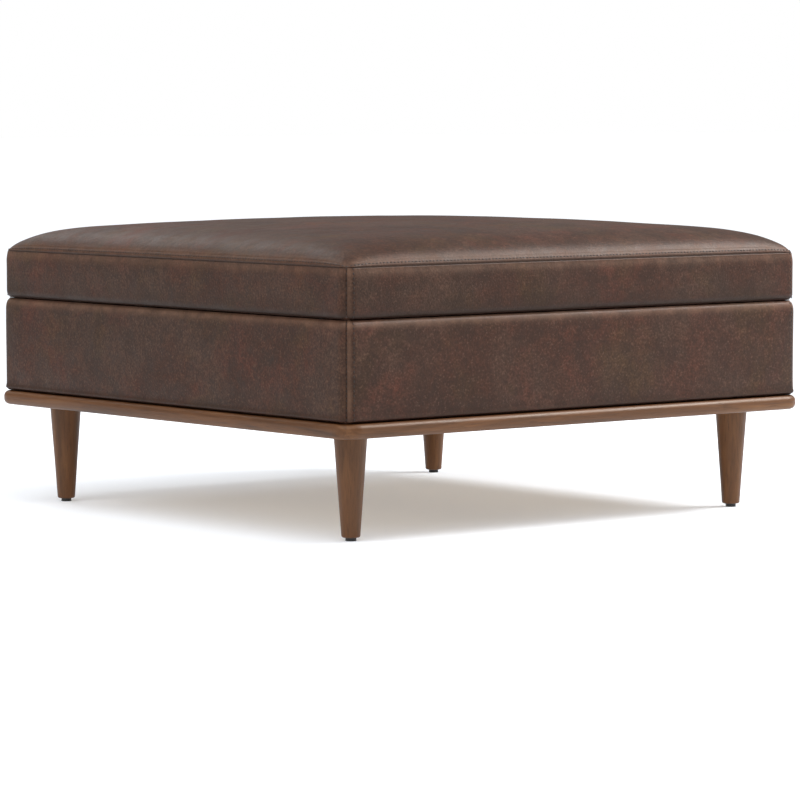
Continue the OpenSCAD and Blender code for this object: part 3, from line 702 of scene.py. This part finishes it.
def finishCushion(piece, look):
    mesh = piece.data
    points, normals = getPoints(mesh), getPoints(mesh, "normal")
    inward, arc = getAttribute(mesh, "inward"), getAttribute(mesh, "arc")
    up = points[:, 2] - lidLow.z
    inset = np.minimum(lidHigh.x - np.abs(points[:, 0]), lidHigh.y - np.abs(points[:, 1]))
    onTop = inward >= 0
    fromSeam = np.where(onTop, inward * look["steepness"], -inward)
    side = (~onTop) & (up > 0.2 * mm) & (inset < look["roundIn"])
    under = (~onTop) & (up < 0.2 * mm)
    radius = look["cornerRadius"]
    core = (lidHigh.x - radius, lidHigh.y - radius)
    outward = points[:, :2] - np.clip(points[:, :2], (-core[0], -core[1]), core)
    outward /= np.maximum(np.linalg.norm(outward, axis=1, keepdims=True), 1e-9)
    turn = look["seamTurn"] * (onTop * bell(inward, look["topTurn"]) + side * bell(inward, look["sideTurn"]))
    points[:, :2] -= outward * turn[:, None]
    fold = side * (arc > 0) * band(arc, look["cornerFold"])
    move = fold * look["foldRise"] - band(fromSeam, look["seam"]) - onTop * band(inward, look["stitchDent"])
    move -= side * (band(arc, look["cornerSeam"]) + band(arc, look["cornerDent"]))
    move += under * look["sag"] * arch(inset, look["roundIn"] * 0.6, look["wrap"]) * clearOfHinges(points)
    soft = np.clip(fromSeam / look["softFrom"], 0, 1) * (onTop | side)
    move += soft * sum(height * ripple(points, scale, shift) for height, scale, shift in look["waves"])
    setPoints(mesh, points + normals * move[:, None])
    # painted highlight: lighter just above the top seam, just below it on the side and on the corner folds;
    # painted shade: darker in the grooves, low on the side towards the gap, and underneath
    paintedHighlight = onTop * band(inward, look["topPaintedHighlight"]) + side * band(-inward, look["sidePaintedHighlight"])
    paintedHighlight += look["cornerPaintedHighlight"] * fold
    paintedShade = band(fromSeam, look["seamPaintedShade"]) + side * band(arc, look["cornerPaintedShade"]) + under * look["underPaintedShade"]
    paintedShade += side * sum(band(up, shape) for shape in look["sidePaintedShade"])
    keepMarks(mesh, paintedHighlight, paintedShade, ("inward", "arc"))


def keepMarks(mesh, paintedHighlight, paintedShade, finished):
    # what the leather reads, the painted highlight and the painted shade, in place of what only the shaping
    # needed
    setAttribute(mesh, "paintedHighlight", np.clip(paintedHighlight, 0, 1))
    setAttribute(mesh, "paintedShade", np.clip(paintedShade, 0, 1))
    for name in finished:
        mesh.attributes.remove(mesh.attributes[name])


def cushionCells(look):
    return cellEdges(lidHigh.x, [f * mm for f in look["fine"]], look["cell"])


def makeLidCushion(look):
    slack = look["slack"]
    piece = buildCushion(look, cushionCells(look), cushionRows(look, look["downs"], look["arcSteps"]), slack)
    coarseCells = np.linspace(-lidHigh.x, lidHigh.x, look["clothCells"])
    coarse = buildCushion(look, coarseCells, cushionRows(look, look["clothDowns"], 1), slack)
    closeHoles(coarse)
    height = getPoints(coarse.data)[:, 2]
    held = (height <= lidLow.z + look["roundUp"] * 1.4) | (np.abs(height - lidHigh.z) < 0.5 * mm)
    swell(piece, coarse, held, clothLook)
    subdivide(piece, 1)
    closeHoles(piece)
    finishCushion(piece, look)
    shadeSmooth(piece.data, True)
    return piece


lidCushion = makeLidCushion(cushionLook)
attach(lidCushion, "lid")
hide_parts("lid_top_panel", "lid_boxing", "lid_foam")
print("cushion made", len(lidCushion.data.polygons))


coverLook = {
    "cornerRadius": 20 * mm,
    "roundIn": 6 * mm,
    "roundDown": 16 * mm,
    "leather": 1.5 * mm,
    "padding": 5 * mm,
    "panel": 15 * mm,
    "lip": 25 * mm,
    "rise": 2.0 * mm,  # of the padded top edge
    "sag": 3.0 * mm,  # of the leather turned in below
    "flare": (0.9 * mm, 3 * mm, 3.2 * mm),  # above the lower edge
    "cornerSeam": (1.2 * mm, 0, 0.9 * mm),  # grooves: depth, distance of the middle, width
    "cornerDent": (0.12 * mm, 11 * mm, 1.2 * mm),
    "cornerFold": (1, 4 * mm, 3.5 * mm),
    "foldRise": 0.5 * mm,
    "waves": [(0.8 * mm, 6.0, 2.0), (0.3 * mm, 17.0, 9.0)],  # height, scale, shift
    # painted highlight along the top edge and beside each corner seam; painted shade in the corner grooves, low
    # on the sides above the base, at the lid gap and underneath
    "topPaintedHighlight": (0.50, 4 * mm, 6 * mm),  # bands: strength, distance of the middle, width
    "cornerPaintedHighlight": 0.48,
    "cornerPaintedShade": (0.55, 0, 0.8 * mm),
    "lowPaintedShade": (0.45, 2 * mm, 9 * mm),
    "gapPaintedShade": (0.8, 0, 2 * mm),
    "underPaintedShade": 0.5,
    "fine": [0, 0.4, 0.9, 1.5, 2.2, 3.0, 3.9, 4.9, 6.1, 7.5, 9.2, 11.2, 13.6, 16.5, 20, 26, 34, 44],
    "cell": 15 * mm,
    "ups": [1.8, 3, 4.4, 6, 8, 11, 15, 22, 32, 44, 58, 72, 86, 100, 112],
    "arcSteps": 8,
    "clothCells": 61,  # of the coarse copy that the cloth moves
    "clothUps": range(14, 120, 14),
    "cloth": {**clothLook, "pressure": 3.0, "hold": 0.03, "most": 1.6 * mm},
}

coverLow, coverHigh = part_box("box_cover_front")
coverHalfX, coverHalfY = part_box("box_cover_right")[1].x, -coverLow.y


def coverRows(look, ups, arcSteps):
    # inset, height and share of the outer face, round the cover's closed section
    low, high = coverLow.z, coverHigh.z
    soft = look["leather"] + look["padding"]
    deep = soft + look["panel"]
    inner = deep + look["leather"]
    rows = [(deep * s, low, 0) for s in (1.0, 0.8, 0.6, 0.4, 0.25)]
    rows += [(2.6 * mm, low, 0), (1.2 * mm, low + 0.25 * mm, 1), (0.3 * mm, low + 0.9 * mm, 1)]
    rows += [(0.0, low + up * mm, 1) for up in ups]
    for k in range(arcSteps + 1):
        a = math.pi / 2 * k / arcSteps
        rows.append((look["roundIn"] * (1 - math.cos(a)), high - look["roundDown"] * (1 - math.sin(a)), 1))
    flat = inner - look["roundIn"] - 1.6 * mm
    rows += [(look["roundIn"] + flat * s, high, 0) for s in (0.25, 0.5, 0.75, 1)]
    rows += [(inner - 0.4 * mm, high - 0.4 * mm, 0), (inner, high - 1.6 * mm, 0)]
    rows += [(inner, high - look["lip"] * s, 0) for s in (0.5, 0.96)]
    under = high - look["leather"] * 1.2
    rows += [(inner - 0.3 * mm, high - look["lip"], 0), (deep, high - look["lip"], 0), (deep, under, 0)]
    return rows + [(soft, under, 0), (soft, low + look["leather"], 0), (deep * 0.97, low + look["leather"], 0)]


def buildCover(look, edge, rows):
    loop = loopIndices(len(edge))
    sx = np.array([edge[i] for i, j in loop])
    sy = np.array([edge[j] for i, j in loop]) * coverHalfY / coverHalfX
    m = len(loop)
    points, arcs, outer = [], [], []
    for inset, height, face in rows:
        x, y, along = roundedPoint(sx, sy, coverHalfX, coverHalfY, look["cornerRadius"], inset)
        points.append(np.stack([x, y, np.full(m, height)], -1))
        arcs.append(along)
        outer.append(np.full(m, float(face)))
    first = np.arange(m)
    faces = []
    for r in range(len(rows)):
        a, b = first + r * m, first + (r + 1) % len(rows) * m
        faces += list(zip(a, np.roll(a, -1), np.roll(b, -1), b))
    piece = makeMesh("boxCover", np.concatenate(points), faces, leather)
    setAttribute(piece.data, "arc", np.concatenate(arcs))
    setAttribute(piece.data, "outer", np.concatenate(outer))
    return piece


def finishCover(piece, look):
    mesh = piece.data
    points, normals = getPoints(mesh), getPoints(mesh, "normal")
    arc, outer = getAttribute(mesh, "arc"), np.clip(getAttribute(mesh, "outer"), 0, 1)
    up, down = points[:, 2] - coverLow.z, coverHigh.z - points[:, 2]
    inset = np.minimum(coverHalfX - np.abs(points[:, 0]), coverHalfY - np.abs(points[:, 1]))
    inner = look["leather"] * 2 + look["padding"] + look["panel"]
    fold = outer * (arc > 0) * band(arc, look["cornerFold"])
    move = outer * band(up, look["flare"]) + look["foldRise"] * fold
    move -= outer * (band(arc, look["cornerSeam"]) + band(arc, look["cornerDent"]))
    move += look["rise"] * (down < 0.1 * mm) * arch(inset, look["roundIn"] * 0.6, inner) * clearOfHinges(points)
    move += look["sag"] * (up < 0.1 * mm) * arch(inset, 2 * mm, inner)
    soft = outer * np.clip(up / (20 * mm), 0, 1) * np.clip(down / (8 * mm), 0, 1)
    move += soft * sum(height * ripple(points, scale, shift) for height, scale, shift in look["waves"])
    setPoints(mesh, points + normals * move[:, None])
    # painted highlight: lighter along the top edge and on the corner folds; painted shade: darker in the corner
    # grooves, low on the sides above the base, on the top at the lid gap, and underneath
    paintedHighlight = outer * band(down, look["topPaintedHighlight"]) + look["cornerPaintedHighlight"] * fold
    paintedShade = outer * (band(arc, look["cornerPaintedShade"]) + band(up, look["lowPaintedShade"]))
    paintedShade += look["underPaintedShade"] * (up < 0.1 * mm) + (1 - outer) * band(down, look["gapPaintedShade"])
    keepMarks(mesh, paintedHighlight, paintedShade, ("arc", "outer"))


def makeBoxCover(look):
    edge = cellEdges(coverHalfX, [f * mm for f in look["fine"]], look["cell"])
    piece = buildCover(look, edge, coverRows(look, look["ups"], look["arcSteps"]))
    coarseEdge = np.linspace(-coverHalfX, coverHalfX, look["clothCells"])
    coarse = buildCover(look, coarseEdge, coverRows(look, look["clothUps"], 1))
    height = getPoints(coarse.data)[:, 2]
    held = (getAttribute(coarse.data, "outer") < 0.5) | (height < coverLow.z + 10 * mm)
    held |= height > coverHigh.z - 1 * mm
    swell(piece, coarse, held, look["cloth"])
    subdivide(piece, 1)
    finishCover(piece, look)
    return piece


boxCover = makeBoxCover(coverLook)
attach(boxCover, "box")
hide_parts("box_cover_front", "box_cover_right", "box_cover_back", "box_cover_left", "box_padding")
print("box cover made", len(boxCover.data.polygons))


def newTree(name, sizes):
    tree = bpy.data.node_groups.new(name, "GeometryNodeTree")
    face = tree.interface
    face.new_socket("Geometry", in_out="OUTPUT", socket_type="NodeSocketGeometry")
    face.new_socket("Geometry", in_out="INPUT", socket_type="NodeSocketGeometry")
    for label in sizes:
        kind = "NodeSocketInt" if label == "Seed" else "NodeSocketFloat"
        face.new_socket(label, in_out="INPUT", socket_type=kind)
    face.new_socket("Material", in_out="INPUT", socket_type="NodeSocketMaterial")
    return tree, tree.nodes.new("NodeGroupInput"), tree.nodes.new("NodeGroupOutput")


def addStep(tree, kind, inputs=(), **settings):
    node = tree.nodes.new(kind)
    for name, value in settings.items():
        setattr(node, name, value)
    for name, value in dict(inputs).items():
        if isinstance(value, bpy.types.NodeSocket):
            tree.links.new(value, node.inputs[name])
        else:
            node.inputs[name].default_value = value
    return node.outputs[0]


def product(tree, a, b):
    return addStep(tree, "ShaderNodeMath", {0: a, 1: b}, operation="MULTIPLY")


def turned(tree, vector):
    return addStep(tree, "FunctionNodeAlignRotationToVector", {"Vector": vector}, axis="Z")


def runTree(piece, tree, sizes, material):
    modifier = piece.modifiers.new("pattern", "NODES")
    modifier.node_group = tree
    given = {**sizes, "Material": material}
    for item in tree.interface.items_tree:
        if item.in_out == "INPUT" and item.name in given:
            modifier[item.identifier] = given[item.name]
    bpy.context.view_layer.update()
    return applyModifiers(piece)


def makeStitchTree(sizes):
    # rounded stitches, end to end along a path
    tree, start, end = newTree("stitches", sizes)
    curve = addStep(tree, "GeometryNodeMeshToCurve", {"Mesh": start.outputs["Geometry"]})
    curve = addStep(tree, "GeometryNodeResampleCurve", {"Curve": curve, "Length": start.outputs["Pitch"]},
                    mode="LENGTH")
    ball = addStep(tree, "GeometryNodeMeshUVSphere", {"Segments": 6, "Rings": 5, "Radius": 1.0})
    size = addStep(tree, "ShaderNodeCombineXYZ", {"X": start.outputs["Radius"], "Y": start.outputs["Radius"],
                                                  "Z": product(tree, start.outputs["Length"], 0.5)})
    ball = addStep(tree, "GeometryNodeTransform", {"Geometry": ball, "Scale": size})
    sizes = {0: (0.9, 0.9, 0.88), 1: (1.1, 1.1, 1.06), "Seed": start.outputs["Seed"]}
    uneven = addStep(tree, "FunctionNodeRandomValue", sizes, data_type="FLOAT_VECTOR")
    along = addStep(tree, "GeometryNodeInputTangent")
    row = addStep(tree, "GeometryNodeInstanceOnPoints", {"Points": curve, "Instance": ball, "Scale": uneven,
                                                         "Rotation": turned(tree, along)})
    row = addStep(tree, "GeometryNodeRealizeInstances", {"Geometry": row})
    row = addStep(tree, "GeometryNodeSetMaterial", {"Geometry": row, "Material": start.outputs["Material"]})
    tree.links.new(row, end.inputs["Geometry"])
    return tree


stitchLook = {"Pitch": 6.6 * mm, "Length": 4.4 * mm, "Radius": 0.75 * mm, "Seed": 3}
stapleLook = {"Pitch": 48 * mm, "Length": 10 * mm, "Radius": 0.55 * mm, "Seed": 8}
stitchTree = makeStitchTree(stitchLook)


def sewRows(name, rows, sizes, material, body):
    points = [p for row in rows for p in row]
    edges, first = [], 0
    for row in rows:
        edges += [(first + k, first + k + 1) for k in range(len(row) - 1)]
        first += len(row)
    piece = makeMesh(name, points, [], edges=edges)
    runTree(piece, stitchTree, sizes, material)
    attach(piece, body)
    return piece


def onSurface(surface, start, direction, lift):
    hit, normal = surface.ray_cast(Vector(start), Vector(direction).normalized())[:2]
    return hit + normal * lift if hit else None


def surfaceOf(piece):
    mesh = piece.data
    return BVHTree.FromPolygons(getPoints(mesh).tolist(), [tuple(p.vertices) for p in mesh.polygons])


def outlinePoint(sx, sy, halfX, halfY, radius, inset=0.0):
    x, y, along = roundedPoint(np.array([sx]), np.array([sy]), halfX, halfY, radius, inset)
    return float(x[0]), float(y[0])


def topstitchRow(surface, look):
    # closed row round the top panel, just above the seam
    halfX, halfY, inset = lidHigh.x, lidHigh.y, look["stitchDent"][1]
    steps = cushionCells(look)[1:]
    ring = [(s, -halfY) for s in steps] + [(halfX, s) for s in steps]
    ring += [(-s, halfY) for s in steps] + [(-halfX, -s) for s in steps]
    row = []
    for sx, sy in ring + ring[:1]:
        x, y = outlinePoint(sx, sy, halfX, halfY, look["cornerRadius"], inset)
        row.append(onSurface(surface, (x, y, lidHigh.z + 0.1), (0, 0, -1), 0.15 * mm))
    return [p for p in row if p]


def cornerRows(surface, half, radius, arc, span, lift):
    # an upright row in each corner, at a distance along the leather from its seam
    angle = math.pi / 4 + min(arc / radius, math.pi / 4)
    past = max(0.0, arc - radius * math.pi / 4)
    halfX, halfY = half
    rows = []
    for signX in (-1, 1):
        for signY in (-1, 1):
            outward = Vector((signX * math.cos(angle), signY * math.sin(angle), 0))
            centre = Vector((signX * (halfX - radius - past), signY * (halfY - radius), 0))
            row = []
            for z in np.linspace(*span, 24):
                start = centre + outward * (radius + 20 * mm) + Vector((0, 0, z))
                row.append(onSurface(surface, start, -outward, lift))
            rows.append([p for p in row if p])
    return rows


def stitchRows(piece, look, half, span):
    # a row in each upright seam and one beside it
    surface, radius = surfaceOf(piece), look["cornerRadius"]
    inSeam = cornerRows(surface, half, radius, 0.0, span, 0.3 * mm)
    return inSeam + cornerRows(surface, half, radius, look["cornerDent"][1], span, 0.15 * mm)


lidRows = [topstitchRow(surfaceOf(lidCushion), cushionLook)]
lidRows += stitchRows(lidCushion, cushionLook, (lidHigh.x, lidHigh.y), (lidLow.z + 3 * mm, lidHigh.z - 2 * mm))
boxRows = stitchRows(boxCover, coverLook, (coverHalfX, coverHalfY), (coverLow.z + 3 * mm, coverHigh.z - 3 * mm))
lidStitches = sewRows("lidStitches", lidRows, stitchLook, thread, "lid")
boxStitches = sewRows("boxStitches", boxRows, stitchLook, thread, "box")
print("stitches sewn", len(lidStitches.data.polygons), len(boxStitches.data.polygons))


def makeScrewTree(sizes):
    # countersunk heads, each with a cross recess
    tree, start, end = newTree("screws", sizes)
    radius = start.outputs["Radius"]
    depth = product(tree, radius, 0.5)
    head = addStep(tree, "GeometryNodeMeshCone", {"Vertices": 28, "Radius Top": radius,
                                                  "Radius Bottom": depth, "Depth": depth})
    lower = addStep(tree, "ShaderNodeCombineXYZ", {"Z": product(tree, depth, -1.0)})
    head = addStep(tree, "GeometryNodeTransform", {"Geometry": head, "Translation": lower})
    long = product(tree, radius, 1.15)
    narrow = product(tree, radius, 0.22)
    bars = []
    for x, y in ((long, narrow), (narrow, long)):
        size = addStep(tree, "ShaderNodeCombineXYZ", {"X": x, "Y": y, "Z": product(tree, radius, 0.6)})
        bars.append(addStep(tree, "GeometryNodeMeshCube", {"Size": size}))
    recess = addStep(tree, "GeometryNodeMeshBoolean", {"Mesh": bars[0]}, operation="UNION")
    join = recess.node
    tree.links.new(bars[1], join.inputs["Mesh 2"])
    cut = addStep(tree, "GeometryNodeMeshBoolean", {"Mesh 1": head, "Mesh 2": recess}, operation="DIFFERENCE")
    facing = addStep(tree, "GeometryNodeInputNamedAttribute", {"Name": "facing"}, data_type="FLOAT_VECTOR")
    spin = addStep(tree, "FunctionNodeRandomValue", {2: 0.0, 3: 1.5, "Seed": start.outputs["Seed"]})
    twist = addStep(tree, "ShaderNodeCombineXYZ", {"Z": spin})
    twist = addStep(tree, "FunctionNodeEulerToRotation", {"Euler": twist})
    way = addStep(tree, "FunctionNodeRotateRotation", {"Rotation": turned(tree, facing), "Rotate By": twist},
                  rotation_space="LOCAL")
    heads = {"Points": start.outputs["Geometry"], "Instance": cut, "Rotation": way}
    row = addStep(tree, "GeometryNodeInstanceOnPoints", heads)
    row = addStep(tree, "GeometryNodeRealizeInstances", {"Geometry": row})
    row = addStep(tree, "GeometryNodeSetMaterial", {"Geometry": row, "Material": start.outputs["Material"]})
    tree.links.new(row, end.inputs["Geometry"])
    return tree


screwLook = {"Radius": 4 * mm, "Seed": 5}  # the radius is taken from each node's own screws
screwTree = makeScrewTree(screwLook)


def islands(node):
    # lowest and highest corner of each separate solid in a node
    mesh = frame["nodes"][node].data
    points = getPoints(mesh)
    keys = [tuple(p) for p in np.round(points, 5)]
    parent = {key: key for key in keys}

    def root(key):
        while parent[key] != key:
            parent[key] = parent[parent[key]]
            key = parent[key]
        return key

    for face in mesh.polygons:
        corners = [root(keys[v]) for v in face.vertices]
        for corner in corners[1:]:
            parent[root(corner)] = root(corners[0])
    groups = {}
    for key in parent:
        groups.setdefault(root(key), []).append(key)
    return [(np.min(g, axis=0), np.max(g, axis=0)) for g in groups.values()]


def driveScrews(name, node, body, facing):
    # one head in the place of each of the node's screws; facing gives the way a head looks
    places, ways = [], []
    for low, high in sorted(islands(node), key=lambda pair: tuple(pair[0])):
        middle = (low + high) / 2
        way = np.array(facing(middle), float)
        places.append(middle + way * ((high - low) / 2))
        ways.append(way)
        radius = float(np.delete(high - low, int(np.abs(way).argmax())).max()) / 2
    piece = makeMesh(name, places, [])
    setAttribute(piece.data, "facing", ways, "FLOAT_VECTOR")
    runTree(piece, screwTree, {**screwLook, "Radius": radius}, screwSteel)
    shadeSmooth(piece.data, False)
    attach(piece, body)
    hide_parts(node)


def upward(place):
    return 0, 0, 1


def downward(place):
    return 0, 0, -1


def sideways(place):
    return -1 if place[0] > 0 else 1, 0, 0


driveScrews("hingeBoxScrews", "hinge_box_screws", "box", upward)
driveScrews("hingeLidScrews", "hinge_lid_screws", "lid", downward)
driveScrews("stayLidScrews", "stay_lid_screws", "lid", downward)
driveScrews("stayBoxScrews", "stay_box_screws", "box", sideways)
driveScrews("baseScrews", "base_to_box_screws", "box", downward)
print("screws driven")


liningLook = {
    "thick": 0.8 * mm,
    "hem": 12 * mm,
    "hemThick": 0.5 * mm,
    "wave": 0.35 * mm,
    "cell": 14 * mm,
    "bend": 5 * mm,  # radius of the wall lining in the corners
    "stapleInset": 6 * mm,
}


def sheetPiece(name, width, length, place):
    # closed thin sheet; place turns its own level points into points of the room
    look = liningLook
    margin = [0, 2 * mm, look["hem"] - 1 * mm, look["hem"]]
    across = cellEdges(width / 2, margin, look["cell"])
    along = cellEdges(length / 2, margin, look["cell"])
    u, v = np.meshgrid(across, along, indexing="ij")
    edge = np.minimum(width / 2 - np.abs(u), length / 2 - np.abs(v))
    inHem = np.clip((look["hem"] - edge) / (1 * mm), 0, 1)
    lift = look["hemThick"] * inHem * np.clip(edge / (2 * mm) + 0.4, 0, 1)
    flat = np.stack([u, v, np.zeros_like(u)], -1).reshape(-1, 3)
    lift = lift.ravel() + look["wave"] * (0.5 + 0.5 * ripple(flat, 9.0, width))
    front = flat + np.stack([lift * 0, lift * 0, lift], -1)
    back = flat - np.array([0, 0, look["thick"]])
    count = len(front)
    index = np.arange(count).reshape(u.shape)
    a, b, c, d = (part.ravel() for part in (index[:-1, :-1], index[1:, :-1], index[1:, 1:], index[:-1, 1:]))
    faces = list(zip(a, b, c, d)) + list(zip(b + count, a + count, d + count, c + count))
    ring = np.concatenate([index[:, 0], index[-1, 1:], index[-2::-1, -1], index[0, -2:0:-1]])
    after = np.roll(ring, -1)
    faces += list(zip(ring + count, after + count, after, ring))
    return makeMesh(name, place(np.concatenate([front, back])), faces, liningCloth)


def recalculated(piece):
    shape = bmesh.new()
    shape.from_mesh(piece.data)
    bmesh.ops.remove_doubles(shape, verts=shape.verts, dist=0.01 * mm)
    bmesh.ops.recalc_face_normals(shape, faces=shape.faces)
    shape.to_mesh(piece.data)
    shape.free()


def lineLid():
    low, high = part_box("lid_lining")
    size = 2 * high.x, 2 * high.y
    piece = sheetPiece("lidLining", *size, lambda p: p * (1, -1, -1) + (0, 0, low.z + 0.2 * mm))
    recalculated(piece)
    x, y = high.x - liningLook["stapleInset"], high.y - liningLook["stapleInset"]
    z = low.z - liningLook["hemThick"]
    corners = [(-x, -y), (x, -y), (x, y), (-x, y)]
    rows = [[Vector((*corners[k], z)), Vector((*corners[(k + 1) % 4], z))] for k in range(4)]
    staples = sewRows("liningStaples", rows, stapleLook, screwSteel, "lid")
    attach(piece, "lid")
    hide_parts("lid_lining")


def lineFloor():
    low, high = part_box("floor_lining")
    size = 2 * high.x, 2 * high.y
    piece = sheetPiece("floorLining", *size, lambda p: p + (0, 0, low.z + liningLook["thick"]))
    recalculated(piece)
    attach(piece, "box")
    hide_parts("floor_lining")


def lineWalls():
    # one strip round the four walls
    look = liningLook
    low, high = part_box("wall_lining")
    x, y = high.x - 0.1 * mm, high.y - 0.1 * mm
    tall = high.z - low.z
    path = []
    for quarter, (cx, cy) in enumerate(((x, y), (-x, y), (-x, -y), (x, -y))):
        for k in range(5):
            a = math.pi / 2 * (quarter + k / 4)
            path.append(Vector((cx - math.copysign(look["bend"], cx) + look["bend"] * math.cos(a),
                                cy - math.copysign(look["bend"], cy) + look["bend"] * math.sin(a), 0)))
    dense = []
    for k, p in enumerate(path):
        q = path[(k + 1) % len(path)]
        steps = max(1, round((q - p).length / look["cell"]))
        dense += [p.lerp(q, s / steps) for s in range(steps)]
    ring = np.array([tuple(p) for p in dense])
    tangent = np.roll(ring, -1, 0) - np.roll(ring, 1, 0)
    inward = np.stack([-tangent[:, 1], tangent[:, 0], 0 * tangent[:, 0]], -1)
    inward /= np.linalg.norm(inward, axis=1, keepdims=True)
    hemLine = tall - look["hem"]
    heights = [0, 3 * mm, *np.linspace(12 * mm, hemLine - 2 * mm, 7), hemLine, tall - 1.5 * mm, tall]
    fronts, backs = [], []
    for h in heights:
        level = ring + (0, 0, low.z + h)
        push = look["hemThick"] * (h > hemLine - 1 * mm) + look["wave"] * (0.5 + 0.5 * ripple(level, 11.0, 3.0))
        push = push * (0.3 if h in (0, tall) else 1.0)
        fronts.append(level + inward * (look["thick"] + push)[:, None])
        backs.append(level)
    loops = fronts + backs[::-1]
    faces = []
    first = np.arange(len(ring))
    for r in range(len(loops)):
        a, b = first + r * len(ring), first + (r + 1) % len(loops) * len(ring)
        faces += list(zip(a, b, np.roll(b, -1), np.roll(a, -1)))
    piece = makeMesh("wallLining", np.concatenate(loops), faces, liningCloth)
    recalculated(piece)
    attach(piece, "box")
    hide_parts("wall_lining")


lineLid()
lineFloor()
lineWalls()
print("linings made")


# wood grain runs along each rail and leg; everything else takes the finish of its slot
finishes = {
    "base_rail_front": walnutX, "base_rail_back": walnutX,
    "base_rail_left": walnutY, "base_rail_right": walnutY, "base_cross_rail": walnutY,
    "leg_front_left": walnutZ, "leg_front_right": walnutZ, "leg_back_left": walnutZ, "leg_back_right": walnutZ,
}
bySlot = {
    "board_wood": board, "screw_steel": screwSteel, "hinge_steel": hingeSteel, "stay_steel": staySteel,
    "glide_plastic": blackPlastic, "bumper_rubber": rubber, "foam": foam, "lining_cloth": liningCloth,
    "brown_leather": leather, "walnut_wood": walnutX,
}
slotOf = {row["node"]: row["material_slot"] for row in frame["record"]["subparts"]}
for name, piece in frame["nodes"].items():
    piece.data.materials.clear()
    piece.data.materials.append(finishes.get(name, bySlot[slotOf[name]]))
